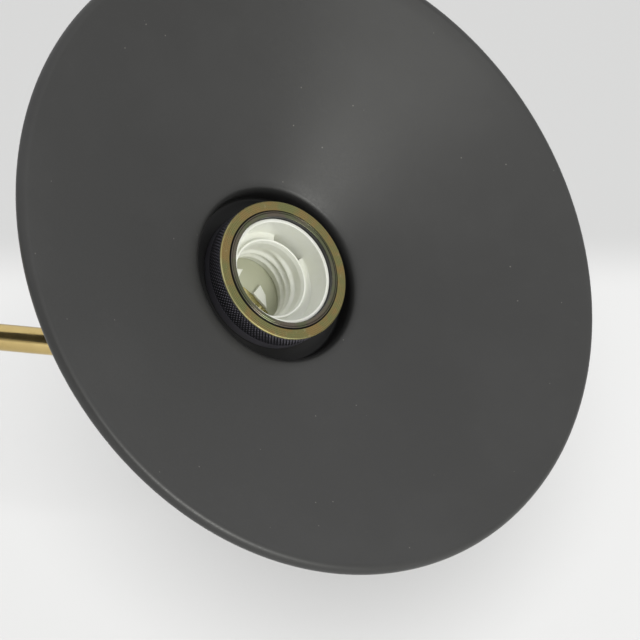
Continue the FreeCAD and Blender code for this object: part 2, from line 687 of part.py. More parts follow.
def terminal_block():
    """A two-way terminal block on the bracket's tab."""
    piece = body("terminal_block")
    low, high = "terminal_foot", "terminal_foot + terminal_height"
    blank = sketch_on(piece, "XY_Plane", "bracket_thickness")
    rectangle(blank, "-terminal_width / 2", "terminal_width / 2", low, high)
    pad(piece, blank, "terminal_depth")
    entries = sketch_on(piece, "XZ_Plane", "-(%s)" % high)
    wells = sketch_on(piece, "XY_Plane", "bracket_thickness + terminal_depth")
    threads = sketch_on(piece, "XY_Plane", WELL_FLOOR)
    for side in ("-", ""):
        across = side + "terminal_pitch / 2"
        circle(entries, across, "bracket_thickness + terminal_entry", "terminal_bore")
        circle(wells, across, "terminal_foot + terminal_height / 2", "terminal_well")
        circle(threads, across, "terminal_foot + terminal_height / 2", "terminal_shank + thread_play")
    pocket(piece, entries, "terminal_height", back=True)
    pocket(piece, wells, "terminal_well_depth")
    pocket(piece, threads, "terminal_depth - terminal_well_depth - terminal_entry")
    return place(piece, ROOM)


def switch_body():
    """The toggle switch behind the cover, with its threaded bush."""
    piece = body("switch_body")
    case = sketch_on(piece, "XY_Plane", "-cover_wall")
    rectangle(case, "-switch_width / 2", "switch_width / 2", "-switch_height / 2", "switch_height / 2")
    pad(piece, case, "switch_depth", back=True)
    bush = sketch_on(piece, "XY_Plane", "-cover_wall")
    circle(bush, "0", "0", "bush_radius")
    pad(piece, bush, "cover_wall + bush_length")
    floor = "lever_pivot - lever_ball - bush_floor"
    steps = [
        ("0", floor),
        ("bush_bore", floor),
        ("bush_bore", "lever_pivot + bush_seat"),
        ("bush_mouth", "bush_length"),
        ("bush_mouth", "bush_length + " + PAST),
        ("0", "bush_length + " + PAST),
    ]
    turned(piece, steps, cut=True)
    return place(piece, SWITCH)


def switch_nut():
    piece = body("switch_nut")
    blank = hexagon(sketch_on(piece, "XY_Plane"), "0", "0", "switch_nut_size")
    pad(piece, blank, "switch_nut_height")
    bore = sketch_on(piece, "XY_Plane", "switch_nut_height")
    circle(bore, "0", "0", "bush_radius + thread_play")
    pocket(piece, bore, "switch_nut_height")
    return place(piece, SWITCH)


def switch_lever():
    """The bat-shaped lever, turned, with its ball at the pivot."""
    piece = body("switch_lever")
    steps = [
        ("0", "-lever_ball"),
        ("lever_root", "sqrt(lever_ball^2 - lever_root^2)", "0", "0", 1),
        ("lever_tip", "lever_length"),
        ("0", "lever_length + lever_tip", "0", "lever_length", 1),
    ]
    turned(piece, steps)
    rest = shift("0", "0", "lever_pivot").multiply(turn_about(X_AXIS, size("lever_angle")))
    return place(piece, SWITCH.multiply(rest))


def wall_post():
    """The fixed fork on the cover, screwed onto the wall nipple."""
    piece = body("wall_post")
    fork_head(piece, "knuckle_radius", "swing_reach")
    flange = sketch_on(piece, "XY_Plane", "-swing_reach")
    circle(flange, "0", "0", "flange_radius")
    pad(piece, flange, "flange_thickness")
    bore = sketch_on(piece, "XY_Plane", "-swing_reach")
    circle(bore, "0", "0", "nipple_radius + thread_play")
    pocket(piece, bore, "nipple_engagement", back=True)
    return place(piece, SWING_UPRIGHT)


def swing_link():
    """The link between the upright swing pin and the level lift pin."""
    piece = body("swing_link")
    eye_head(piece, "knuckle_radius", "link_length - seat_relief")
    # the lift fork: its cheeks stand on the base, and its pin is square to the eye's
    disc = sketch_on(piece, "XZ_Plane")
    circle(disc, "0", "link_length", "knuckle_radius")
    pad(piece, disc, "2 * " + FORK_HALF, middle=True)
    slot = sketch_on(piece, "YZ_Plane")
    slot_top = "link_length + knuckle_radius + " + PAST
    rectangle(slot, "-" + SLOT_HALF, SLOT_HALF, "link_length - " + SLOT_BOTTOM, slot_top)
    pocket(piece, slot, "2 * (knuckle_radius + %s)" % PAST, middle=True)
    bore = sketch_on(piece, "XZ_Plane")
    circle(bore, "0", "link_length", "pin_radius + thread_play")
    pocket(piece, bore, "2 * (%s + %s)" % (FORK_HALF, PAST), middle=True)
    return place(piece, SWING_UPRIGHT)


# Arm

ROOT_END = "(collar_start + root_collar)"
TUBE_END = "(arm_length - fork_base - washer_thickness - swivel_collar)"


def arm_root():
    """The arm's eye at the wall end, with a plug inside the tube."""
    piece = body("arm_root")
    eye_head(piece, "collar_radius", ROOT_END)
    plug = sketch_on(piece, "XY_Plane", ROOT_END)
    circle(plug, "0", "0", "tube_radius - tube_sheet - plug_play")
    pad(piece, plug, "plug_length")
    way = sketch_on(piece, "XY_Plane", "%s + plug_length" % ROOT_END)
    circle(way, "0", "0", "wire_way")
    pocket(piece, way, "plug_length + root_collar / 2")
    return place(piece, ARM)


def arm_tube():
    piece = body("arm_tube")
    inner, outer = "tube_radius - tube_sheet", "tube_radius"
    turned(piece, [(inner, ROOT_END), (outer, ROOT_END), (outer, TUBE_END), (inner, TUBE_END)])
    return place(piece, ARM)


def swivel_bush():
    """The bush in the arm's front end, in which the swivel stem turns."""
    piece = body("swivel_bush")
    front = "-(fork_base + washer_thickness)"
    back = "%s - swivel_collar" % front
    bore = "swivel_stem_radius + thread_play"
    plug = "tube_radius - tube_sheet - plug_play"
    steps = [
        (bore, front),
        (bore, "%s - plug_length" % back),
        (plug, "%s - plug_length" % back),
        (plug, back),
        ("collar_radius", back),
        ("collar_radius", front),
    ]
    blank = turned(piece, steps)
    rims = [("collar_radius", front), ("collar_radius", back)]
    round_edges(piece, blank, rims, "edge_round")
    hole = sketch_on(piece, "YZ_Plane")
    circle(hole, "0", "%s - swivel_collar / 2" % front, "setscrew_radius + thread_play")
    pocket(piece, hole, "collar_radius + " + PAST, back=True)
    return place(piece, ARM_END)


def swivel_setscrew():
    """The headless screw whose tip runs in the stem's groove."""
    piece = body("swivel_setscrew")
    tip = "swivel_stem_radius - groove_depth + setscrew_tip"
    end = "collar_radius - setscrew_sink"
    steps = [("0", tip), ("setscrew_radius", tip), ("setscrew_radius", end), ("0", end)]
    turned(piece, steps)
    slot = sketch_on(piece, "XY_Plane", end)
    reach = "(setscrew_radius + %s)" % PAST
    rectangle(slot, "-setscrew_slot / 2", "setscrew_slot / 2", "-" + reach, reach)
    pocket(piece, slot, "setscrew_slot_depth")
    spot = shift("0", "0", "-(fork_base + washer_thickness + swivel_collar / 2)")
    return place(piece, ARM_END.multiply(spot).multiply(turn_about(Y_AXIS, 90)))


def swivel_fork():
    """The fork that carries the head: it turns about the arm on a hollow stem."""
    piece = body("swivel_fork")
    fork_head(piece, "knuckle_radius", "fork_base")
    stem = sketch_on(piece, "XY_Plane", "-fork_base")
    circle(stem, "0", "0", "swivel_stem_radius")
    pad(piece, stem, "swivel_stem_length", back=True)
    middle = "(fork_base + washer_thickness + swivel_collar / 2)"
    inner = "swivel_stem_radius - groove_depth"
    low, high = "-(%s + groove_width / 2)" % middle, "-(%s - groove_width / 2)" % middle
    outer = "swivel_stem_radius + " + PAST
    # the groove ends where the stop screw's side meets the land at the back
    sweep = "2 * ((swivel_limit + stop_play) * 1 deg + asin(setscrew_radius / (%s)))" % inner
    turned(piece, [(inner, low), (outer, low), (outer, high), (inner, high)], cut=True, sweep=sweep)
    way = sketch_on(piece, "XY_Plane", "-(fork_base + swivel_stem_length)")
    circle(way, "0", "0", "wire_way")
    pocket(piece, way, "swivel_stem_length + fork_base - %s + %s" % (SLOT_BOTTOM, PAST), back=True)
    return place(piece, SWIVEL)


def swivel_washer():
    piece = body("swivel_washer")
    inner, front = "swivel_stem_radius + 2 * thread_play", "-fork_base"
    back = "-(fork_base + washer_thickness)"
    outer = "collar_radius - washer_inset"
    turned(piece, [(inner, back), (outer, back), (outer, front), (inner, front)])
    return place(piece, SWIVEL)


# Head

def head_knuckle():
    """The eye on the back of the husk, screwed onto the head nipple."""
    piece = body("head_knuckle")
    eye_head(piece, "knuckle_radius", HUSK_BACK)
    flange = sketch_on(piece, "XY_Plane", HUSK_BACK)
    circle(flange, "0", "0", "flange_radius")
    pad(piece, flange, "flange_thickness", back=True)
    bore = sketch_on(piece, "XY_Plane", HUSK_BACK)
    circle(bore, "0", "0", "nipple_radius + thread_play")
    pocket(piece, bore, "nipple_engagement")
    return place(piece, HEAD)


def husk():
    """The bell-shaped cover behind the shade, round the lampholder."""
    piece = body("husk")
    front = "%s - husk_gap" % NECK_PLANE
    centre = "(%s - husk_dome)" % HUSK_RADIUS
    rise = "(%s + sqrt(husk_dome^2 - (husk_back_radius - %s)^2))" % (HUSK_BACK, centre)
    inner_back = "(%s + husk_wall)" % HUSK_BACK
    inner_dome = "(husk_dome - husk_wall)"
    inner_foot = "(%s + sqrt(%s^2 - (%s - %s)^2))" % (centre, inner_dome, rise, inner_back)
    bore = "nipple_radius + hole_play"
    steps = [
        (bore, HUSK_BACK),
        ("husk_back_radius", HUSK_BACK),
        (HUSK_RADIUS, rise, centre, rise, 1),
        (HUSK_RADIUS, front),
        ("%s - husk_wall" % HUSK_RADIUS, front),
        ("%s - husk_wall" % HUSK_RADIUS, rise),
        (inner_foot, inner_back, centre, rise, -1),
        (bore, inner_back),
    ]
    turned(piece, steps)
    return place(piece, HEAD)


def shade():
    """The wide cone with its rim rolled back, a short neck and an inner flange."""
    piece = body("shade")
    across, height = "(rim_radius - roll_radius)", "(hinge_to_rim - roll_radius)"
    # the cone's front face starts at the neck's corner and touches the roll
    run, rise = "(%s - neck_radius)" % across, "(neck_depth - roll_radius)"
    angle = "(atan(%s / %s) + asin(roll_radius / sqrt(%s^2 + %s^2)))" % (rise, run, run, rise)

    def on_roll(radius, sweep, turning):
        """The end of an arc round the roll's middle, swept back from the cone by an angle."""
        place_angle = "(%s - %s * 1 deg)" % (angle, sweep)
        x = "%s - %s * sin%s" % (across, radius, place_angle)
        y = "%s + %s * cos%s" % (height, radius, place_angle)
        return x, y, across, height, turning

    inside_roll = "(roll_radius - shade_wall)"
    outer_neck = "neck_radius + shade_wall"
    outer_corner = "%s + shade_wall * tan%s - shade_wall / cos%s" % (NECK_PLANE, angle, angle)
    bore = "skirt_radius + flange_play"
    steps = [
        on_roll("roll_radius", "0", 1),
        ("neck_radius", NECK_PLANE),
        ("neck_radius", FLANGE_FRONT),
        (bore, FLANGE_FRONT),
        (bore, SHOULDER),
        (outer_neck, SHOULDER),
        (outer_neck, outer_corner),
        on_roll(inside_roll, "0", 1)[:2],
        on_roll(inside_roll, "roll_sweep", -1),
        on_roll("roll_radius", "roll_sweep", -1)[:2],
    ]
    sheet_metal = turned(piece, steps)
    front = round_edges(piece, sheet_metal, [("neck_radius", NECK_PLANE)], "neck_bend")
    round_edges(piece, front, [(outer_neck, outer_corner)], "neck_bend - shade_wall")
    return place(piece, HEAD)


def retaining_ring():
    """The ring that clamps the shade's flange against the lampholder's shoulder."""
    piece = body("retaining_ring")
    bore, outer = "skirt_radius + thread_play", "ring_radius"
    steps = [(bore, FLANGE_FRONT), (outer, FLANGE_FRONT), (outer, RING_FRONT), (bore, RING_FRONT)]
    blank = turned(piece, steps)
    rims = [("ring_radius", RING_FRONT), (bore, RING_FRONT)]
    round_edges(piece, blank, rims, "ring_edge", "Chamfer")
    return place(piece, HEAD)


def lampholder_shell():
    """The metal lampholder: threaded skirt, shoulder, body and tapped boss."""
    piece = body("lampholder_shell")
    lip = "(%s + skirt_lip)" % RING_FRONT
    back_of_shoulder = "(%s - shoulder_height)" % SHOULDER
    cavity_back = "(%s - holder_cavity_length)" % INSERT_BACK
    bore = "nipple_radius + thread_play"
    steps = [
        ("holder_bore", lip),
        ("holder_bore", INSERT_BACK),
        ("holder_cavity", INSERT_BACK),
        ("holder_cavity", cavity_back),
        (bore, HOLDER_BOSS_FRONT),
        (bore, HOLDER_BACK),
        ("holder_boss_radius", HOLDER_BACK),
        ("holder_boss_radius", HOLDER_BOSS_FRONT),
        ("holder_radius", HOLDER_CONE_FRONT),
        ("holder_radius", back_of_shoulder),
        ("shoulder_radius", back_of_shoulder),
        ("shoulder_radius", SHOULDER),
        ("skirt_radius", SHOULDER),
        ("skirt_radius", lip),
    ]
    blank = turned(piece, steps)
    round_edges(piece, blank, [("skirt_radius", lip), ("holder_bore", lip)], "skirt_bevel")
    return place(piece, HEAD)


# the insulating block's corners: along the centre contact from the axis, and aside of it
BLOCK_SIDE = "(contact_width / 2 + block_gap)"
BLOCK_CORNERS = [
    ("block_near", BLOCK_SIDE),
    ("block_far", BLOCK_SIDE),
    ("block_far - block_slant", BLOCK_SIDE + " + block_tip"),
    ("block_near", BLOCK_SIDE + " + block_width"),
]


def socket_insert():
    """The ceramic insert: skirt, ring-shaped floor, thread tube and base."""
    piece = body("socket_insert")
    outer = "(holder_bore - insert_play)"
    inner = "(%s - insert_skirt)" % outer
    tube = "(tube_bore + tube_wall)"
    steps = [
        ("0", INSERT_BACK),
        (outer, INSERT_BACK),
        (outer, INSERT_FRONT),
        (inner, INSERT_FRONT),
        (inner, RING_FLOOR),
        (tube, RING_FLOOR),
        (tube, TUBE_RIM),
        ("(tube_bore + lead_in)", TUBE_RIM),
        ("tube_bore", "(%s - lead_in_depth)" % TUBE_RIM),
        ("tube_bore", SOCKET_FLOOR),
        ("0", SOCKET_FLOOR),
    ]
    blank = turned(piece, steps)
    lip = round_edges(piece, blank, [(outer, INSERT_FRONT), (inner, INSERT_FRONT)], "insert_skirt / 3")
    round_edges(piece, lip, [(tube, TUBE_RIM), ("tube_bore + lead_in", TUBE_RIM)], "tube_wall / 6")
    locking = sketch_on(piece, "XY_Plane", RING_FLOOR)
    first, last = "(pocket_start * 1 deg)", "((pocket_start + pocket_sweep) * 1 deg)"
    steps = [
        ("%s * cos%s" % (tube, first), "%s * sin%s" % (tube, first)),
        ("%s * cos%s" % (inner, first), "%s * sin%s" % (inner, first)),
        ("%s * cos%s" % (inner, last), "%s * sin%s" % (inner, last), "0", "0", 1),
        ("%s * cos%s" % (tube, last), "%s * sin%s" % (tube, last)),
    ]
    arc_back = (steps[0][0], steps[0][1], "0", "0", -1)
    outline(locking, [arc_back] + steps[1:])
    pattern_about_axis(piece, [pocket(piece, locking, "pocket_depth")], "pocket_count")
    ridge = sketch_on(piece, "XZ_Plane")
    circle(ridge, "tube_bore", "%s - ridge_first" % TUBE_RIM, "ridge_radius")
    pattern_along_axis(piece, [turn(piece, ridge)], "ridge_count", "ridge_pitch")
    block = sketch_on(piece, "XY_Plane", SOCKET_FLOOR)
    cosine, sine = "cos(contact_angle * 1 deg)", "sin(contact_angle * 1 deg)"
    steps = []
    for along, aside in BLOCK_CORNERS:
        across = "(%s) * %s - (%s) * %s" % (along, cosine, aside, sine)
        up = "(%s) * %s + (%s) * %s" % (along, sine, aside, cosine)
        steps.append((across, up))
    outline(block, steps)
    pad(piece, block, "block_height")
    holes = sketch_on(piece, "XY_Plane", SOCKET_FLOOR)
    for side in ("", "-"):
        reach = side + "contact_screw_place"
        across, up = "%s * %s" % (reach, cosine), "%s * %s" % (reach, sine)
        circle(holes, across, up, "contact_screw_shank + thread_play")
    pocket(piece, holes, "contact_screw_length + contact_screw_gap")
    return place(piece, HEAD)


def screw_hole(piece):
    """The hole in a contact leaf for its screw."""
    hole = sketch_on(piece, "XY_Plane", "%s + leaf_thickness" % SOCKET_FLOOR)
    circle(hole, "contact_screw_place", "0", "contact_screw_shank + thread_play")
    pocket(piece, hole, "leaf_thickness")


def centre_contact():
    """A brass leaf: flat under its screw, with a raised, tapering tongue over the axis."""
    piece = body("centre_contact")
    side = sketch_on(piece, "XZ_Plane")
    floor, top = SOCKET_FLOOR, "(%s + leaf_thickness)" % SOCKET_FLOOR
    steps = [
        ("leaf_end", floor),
        ("leaf_end", top),
        ("leaf_bend", top),
        ("-leaf_tip", "%s + leaf_lift" % top),
        ("-leaf_tip", "%s + leaf_lift" % floor),
        ("leaf_bend", floor),
    ]
    outline(side, steps)
    pad(piece, side, "contact_width", middle=True)
    taper = sketch_on(piece, "XY_Plane", "%s + leaf_lift" % top)
    for hand in ("", "-"):
        edge, tip = hand + "contact_width / 2", hand + "leaf_tip_width / 2"
        outline(taper, [("leaf_taper", edge), ("-leaf_tip", edge), ("-leaf_tip", tip)])
    pocket(piece, taper, "leaf_lift + leaf_thickness")
    screw_hole(piece)
    return place(piece, HEAD.multiply(turn_about(Z_AXIS, size("contact_angle"))))


def side_contact():
    """A brass leaf with a foot under its screw and an upright along the thread."""
    piece = body("side_contact")
    side = sketch_on(piece, "XZ_Plane")
    floor, top = SOCKET_FLOOR, "(%s + leaf_thickness)" % SOCKET_FLOOR
    steps = [
        ("side_leaf_foot", floor),
        ("side_leaf_radius", floor),
        ("side_leaf_radius", "%s + side_leaf_height" % floor),
        ("side_leaf_radius - leaf_thickness", "%s + side_leaf_height" % floor),
        ("side_leaf_radius - leaf_thickness", top),
        ("side_leaf_foot", top),
    ]
    outline(side, steps)
    pad(piece, side, "side_leaf_width", middle=True)
    screw_hole(piece)
    return place(piece, HEAD.multiply(turn_about(Z_AXIS, size("contact_angle - 180"))))


def contact_screws():
    """The two screws that hold the contact leaves on the base."""
    frame = HEAD.multiply(turn_about(Z_AXIS, size("contact_angle")))
    spots = [("contact_screw_place", "0"), ("-contact_screw_place", "0")]
    foot = "%s - contact_screw_length" % SOCKET_FLOOR
    top = "%s + leaf_thickness" % SOCKET_FLOOR
    return screw_group("contact_screws", frame, spots, "contact_screw_shank", "contact_screw_radius",
                       "contact_screw_height", foot, top, "small_slot")


wall_bracket()
lock_washer("bracket_lock_washer", ROOM, "bracket_thickness")
lock_nut("bracket_nut", ROOM, "bracket_thickness + lockwasher_thickness")
nipple("wall_nipple", ROOM, "wall_gap", "cover_depth + nipple_engagement - nipple_gap")
canopy()
cover_spots = [("-cover_screw_spacing / 2", "0"), ("cover_screw_spacing / 2", "0")]
screw_group("canopy_screws", ROOM, cover_spots, "cover_screw_radius", "cover_head_radius",
            "cover_head_height", "wall_gap", "cover_depth")
screw_group("earth_screw", ROOM, [("earth_place", "earth_rise")], "earth_radius", "earth_head_radius",
            "earth_head_height", "wall_gap", "bracket_thickness")
terminal_block()
terminal_spots = [(side + "terminal_pitch / 2", "terminal_foot + terminal_height / 2") for side in ("-", "")]
screw_group("terminal_screws", ROOM, terminal_spots, "terminal_shank", "terminal_head",
            "terminal_head_height", "bracket_thickness + terminal_entry + terminal_bore / 2", WELL_FLOOR)
switch_body()
switch_nut()
switch_lever()
wall_post()
knuckle_fittings("swing", SWING_UPRIGHT)
swing_link()
knuckle_fittings("lift", LIFT)
arm_root()
arm_tube()
swivel_bush()
swivel_setscrew()
swivel_fork()
swivel_washer()
knuckle_fittings("tilt", SWIVEL)
head_knuckle()
husk()
nipple_end = "%s + nipple_proud" % HOLDER_BOSS_FRONT
nipple("head_nipple", HEAD, "%s - nipple_engagement + nipple_gap" % HUSK_BACK, nipple_end)
lock_washer("husk_lock_washer", HEAD, "%s + husk_wall" % HUSK_BACK)
lock_nut("husk_nut", HEAD, "%s + husk_wall + lockwasher_thickness" % HUSK_BACK)
lampholder_shell()
socket_insert()
centre_contact()
side_contact()
contact_screws()
retaining_ring()
shade()

doc.recompute()
for item in doc.Objects:
    if {"Invalid", "Error"} & set(item.State):
        raise RuntimeError("%s has state %s" % (item.Label, item.State))
for piece in SUBPARTS:
    if piece.Shape.isNull() or not piece.Shape.isValid():
        raise RuntimeError(piece.Label + " has no valid shape")

os.makedirs("parts", exist_ok=True)
for piece in SUBPARTS:
    piece.Shape.exportStep(os.path.join("parts", piece.Label + ".step"))
    print("%-22s %d solid(s) %10.1f mm3" % (piece.Label, len(piece.Shape.Solids), piece.Shape.Volume))
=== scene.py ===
import functools
import json
import logging
import math
from dataclasses import dataclass, field
from enum import Enum
from typing import Callable, Optional, Sequence

import bmesh
import bpy
import numpy as np
from mathutils import Matrix


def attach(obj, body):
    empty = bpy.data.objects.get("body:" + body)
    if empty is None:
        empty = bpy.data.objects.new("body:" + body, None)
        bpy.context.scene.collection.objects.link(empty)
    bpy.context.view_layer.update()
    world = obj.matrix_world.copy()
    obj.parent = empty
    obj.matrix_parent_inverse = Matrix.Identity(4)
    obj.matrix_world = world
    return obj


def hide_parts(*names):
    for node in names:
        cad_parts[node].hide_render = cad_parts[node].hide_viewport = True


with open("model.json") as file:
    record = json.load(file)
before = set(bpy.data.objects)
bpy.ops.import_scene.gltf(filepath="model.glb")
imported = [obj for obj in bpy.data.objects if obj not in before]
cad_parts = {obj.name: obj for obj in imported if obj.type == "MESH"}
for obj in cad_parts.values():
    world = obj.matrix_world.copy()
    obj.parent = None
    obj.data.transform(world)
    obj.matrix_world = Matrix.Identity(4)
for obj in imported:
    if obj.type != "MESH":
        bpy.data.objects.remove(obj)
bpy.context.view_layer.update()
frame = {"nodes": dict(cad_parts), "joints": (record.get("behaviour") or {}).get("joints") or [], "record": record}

LOG = logging.getLogger("wall_lamp")
MM = 0.001

# Closeness of points and thinness of slivers in metres, angles between faces in degrees
SAME_POINT = 1e-6
SAME_CAD_POINT = 2e-6
SLIVER = 1e-7
FLAT_WITHIN = 0.6
CREASE = 35.0
BEVEL_STRIPS = 2

Colour = tuple[float, float, float]
Vector = tuple[float, float, float]
Corner = tuple[float, float, float]
Spot = tuple[float, float]
Surface = tuple[np.ndarray, np.ndarray]
Shift = Callable[[np.ndarray, np.ndarray, np.ndarray], Surface]
Pick = Callable[[np.ndarray], np.ndarray]
Socket = bpy.types.NodeSocket
Outputs = bpy.types.bpy_prop_collection


# Places and measures

@dataclass(frozen=True)
class Place:
    """Axes of a sub-assembly in the row frame. Lengths in it are millimetres."""

    origin: np.ndarray
    axes: np.ndarray

    @classmethod
    def along(cls, origin: Sequence[float], z: Sequence[float], x: Sequence[float]) -> "Place":
        """Axes with Z along one direction and X as near as it can be to another.

        Args:
            origin: the place's zero point, in metres.
            z: direction of Z.
            x: direction that X follows.

        Returns:
            The place.
        """
        up = np.array(z, float)
        up /= np.linalg.norm(up)
        side = np.array(x, float)
        side -= up * side.dot(up)
        side /= np.linalg.norm(side)
        return cls(np.array(origin, float), np.array([side, np.cross(up, side), up]))

    def out(self, points: np.ndarray) -> np.ndarray:
        """Points of the place in the row frame, in metres."""
        return self.origin + MM * points @ self.axes

    def into(self, points: np.ndarray) -> np.ndarray:
        """Points of the row frame in the place, in millimetres."""
        return (points - self.origin) @ self.axes.T / MM

    def turned(self, degrees: float) -> "Place":
        """The same place with X and Y turned about Z.

        Args:
            degrees: the angle from X towards Y.

        Returns:
            The turned place.
        """
        angle = math.radians(degrees)
        spin = np.array([[math.cos(angle), math.sin(angle), 0],
                         [-math.sin(angle), math.cos(angle), 0], [0, 0, 1]])
        return Place(self.origin, spin @ self.axes)


@dataclass(frozen=True)
class Span:
    """How far a CAD node reaches in a place: from its axis, and along it."""

    inner: float
    outer: float
    back: float
    front: float

    @classmethod
    def of(cls, node: str, place: Place) -> "Span":
        """Reads the node's corners, in millimetres of the place.

        Args:
            node: the CAD node.
            place: the axes; the reach is measured from Z and along it.

        Returns:
            The least and the largest of both.
        """
        points = place.into(corners_of(node))
        reach = off_axis(points)
        return cls(reach.min(), reach.max(), points[:, 2].min(), points[:, 2].max())


def spanned(node: str, place: Place) -> Span:
    """A dataclass field that holds a CAD node's span in a place."""
    return field(default_factory=lambda: Span.of(node, place))


def corners_of(node: str) -> np.ndarray:
    """The vertices of a CAD node in the row frame.

    Args:
        node: the CAD node.

    Returns:
        One row per vertex, in metres.
    """
    mesh = frame["nodes"][node].data
    points = np.empty(3 * len(mesh.vertices))
    mesh.vertices.foreach_get("co", points)
    return points.reshape(-1, 3)


def joint(name: str) -> dict:
    """A joint of the record, by name."""
    return next(entry for entry in frame["joints"] if entry["name"] == name)


def mount(name: str) -> dict:
    """A mount of the record, by name."""
    return next(entry for entry in frame["record"]["mounts"] if entry["name"] == name)


def body_of(node: str) -> str:
    """The body that a CAD node rides."""
    bodies = frame["record"]["behaviour"]["bodies"]
    return next(name for name, nodes in bodies.items() if node in nodes)


# The arm's place runs from the lift screw along the tube, the head's from the tilt screw along the socket
ARM = Place.along(joint("arm_lift")["pos_m"], joint("head_swivel")["axis"], (1, 0, 0))
HEAD = Place.along(joint("head_tilt")["pos_m"], mount("lamp_socket")["axis"],
                   -np.array(joint("head_tilt")["axis"]))


# Shapes

def eased_outline(corners: Sequence[Corner], arc_points: int = 7, closed: bool = True) -> np.ndarray:
    """A polygon with its corners rounded.

    The arc at a corner touches both sides. It starts at radius / tan(half the corner's angle) from
    the corner, and its middle is radius / sin(half) along the line that halves the angle.

    Args:
        corners: radius from the axis, height and rounding of each corner, in millimetres.
        arc_points: points on each arc.
        closed: whether the last corner joins the first.

    Returns:
        An array of radius and height, one row per point.
    """
    spots = np.array([corner[:2] for corner in corners], float)
    rows = []
    for index, (x, y, rounding) in enumerate(corners):
        here = np.array([x, y], float)
        at_end = not closed and index in (0, len(corners) - 1)
        if rounding <= 0 or at_end:
            rows.append(here[None])
            continue
        before = spots[index - 1] - here
        after = spots[(index + 1) % len(corners)] - here
        before /= np.linalg.norm(before)
        after /= np.linalg.norm(after)
        half = math.acos(float(np.clip(before.dot(after), -1, 1))) / 2
        middle = here + (before + after) / np.linalg.norm(before + after) * rounding / math.sin(half)
        start = here + before * rounding / math.tan(half) - middle
        end = here + after * rounding / math.tan(half) - middle
        first = math.atan2(start[1], start[0])
        sweep = (math.atan2(end[1], end[0]) - first + math.pi) % (2 * math.pi) - math.pi
        angles = first + sweep * np.linspace(0, 1, arc_points)
        rows.append(middle + rounding * np.stack([np.cos(angles), np.sin(angles)], axis=1))
    return np.concatenate(rows)


def finer(profile: np.ndarray, step: float, closed: bool = True) -> np.ndarray:
    """The same outline with its sides cut into equal pieces no longer than a step.

    Args:
        profile: radius and height of each point.
        step: the longest piece, in millimetres.
        closed: whether the last point joins the first.

    Returns:
        Radius and height of each point, old and new.
    """
    ends = np.roll(profile, -1, axis=0) if closed else np.concatenate([profile[1:], profile[-1:]])
    lengths = np.hypot(*(ends - profile).T)
    pieces = np.maximum(1, np.ceil(lengths / step)).astype(int)
    start = np.repeat(np.arange(len(profile)), pieces)
    first = np.concatenate([[0], np.cumsum(pieces)[:-1]])
    share = (np.arange(len(start)) - first[start]) / pieces[start]
    return profile[start] + share[:, None] * (ends - profile)[start]


def grid_faces(rows: int, columns: int, rows_closed: bool) -> np.ndarray:
    """Quads of a grid of points whose columns run right round.

    A point's number is its row times the number of columns plus its column. A quad joins the points
    (row, column), (row + 1, column), (row + 1, column + 1) and (row, column + 1).

    Args:
        rows: number of rows.
        columns: number of columns.
        rows_closed: whether the last row joins the first.

    Returns:
        Four numbers of points per quad.
    """
    row = np.arange(rows if rows_closed else rows - 1)[:, None]
    column = np.arange(columns)[None]
    next_row, next_column = (row + 1) % rows, (column + 1) % columns
    quads = [row * columns + column, next_row * columns + column,
             next_row * columns + next_column, row * columns + next_column]
    quads = [np.broadcast_to(quad, (len(row), columns)) for quad in quads]
    return np.stack(quads, axis=-1).reshape(-1, 4)


def around(count: int) -> np.ndarray:
    """Equal angles once round, in radians."""
    return np.arange(count) * (2 * math.pi / count)


def off_axis(points: np.ndarray) -> np.ndarray:
    """How far each point is from the axis Z."""
    return np.hypot(points[:, 0], points[:, 1])


def lathe(profile: np.ndarray, angles: np.ndarray, closed: bool = True,
          shift: Optional[Shift] = None) -> Surface:
    """A profile carried round the axis.

    A point is (radius cos angle, radius sin angle, height), where the profile gives radius and height.

    Args:
        profile: radius and height of each point.
        angles: where the profile stands, in radians, in growing order, once round.
        closed: whether the profile's end joins its start.
        shift: changes radius and height, given the angle, the radius and the height as grids.

    Returns:
        The points, in millimetres, and the quads.
    """
    radius = np.repeat(profile[:, 0:1], len(angles), axis=1)
    height = np.repeat(profile[:, 1:2], len(angles), axis=1)
    angle = np.repeat(angles[None], len(profile), axis=0)
    if shift is not None:
        radius, height = shift(angle, radius, height)
    points = np.stack([radius * np.cos(angle), radius * np.sin(angle), height], axis=-1)
    return points.reshape(-1, 3), grid_faces(len(profile), len(angles), closed)


def ramp_up(value: np.ndarray, low: float, high: float) -> np.ndarray:
    """0 below low and 1 above high, smooth between: 3 t^2 - 2 t^3 of the share t of the way."""
    share = np.clip((value - low) / (high - low), 0, 1)
    return share * share * (3 - 2 * share)


def make_piece(name: str, node: str, place: Place, surface: Surface, finishes: Sequence["Finish"],
               crease: float = CREASE, pick: Optional[Pick] = None) -> None:
    """Puts a surface into the scene in the stead of a CAD node.

    The points' places before they are carried into the row frame are kept as the attribute "turned",
    in millimetres, for finishes that follow the lathe's axis.

    Args:
        name: the piece's name.
        node: the CAD node that it stands for.
        place: the axes that the points are given in.
        surface: the points, in millimetres, and the quads as numbers of points.
        finishes: its finishes, in the order of their numbers.
        crease: edges that bend more than this many degrees stay sharp.
        pick: gives each face's finish as a number from the face's middle, in the place.
    """
    points, faces = surface
    mesh = bpy.data.meshes.new(name)
    mesh.from_pydata(place.out(points), [], faces)
    turned = mesh.attributes.new("turned", "FLOAT_VECTOR", "POINT")
    turned.data.foreach_set("vector", points.ravel())
    for finish in finishes:
        mesh.materials.append(finish.dressed)
    if pick is not None:
        mesh.polygons.foreach_set("material_index", pick(points[faces].mean(axis=1)).astype(np.int32))
    close_up(mesh)
    mesh.shade_smooth()
    mesh.set_sharp_from_angle(angle=math.radians(crease))
    settle(mesh, name, node)


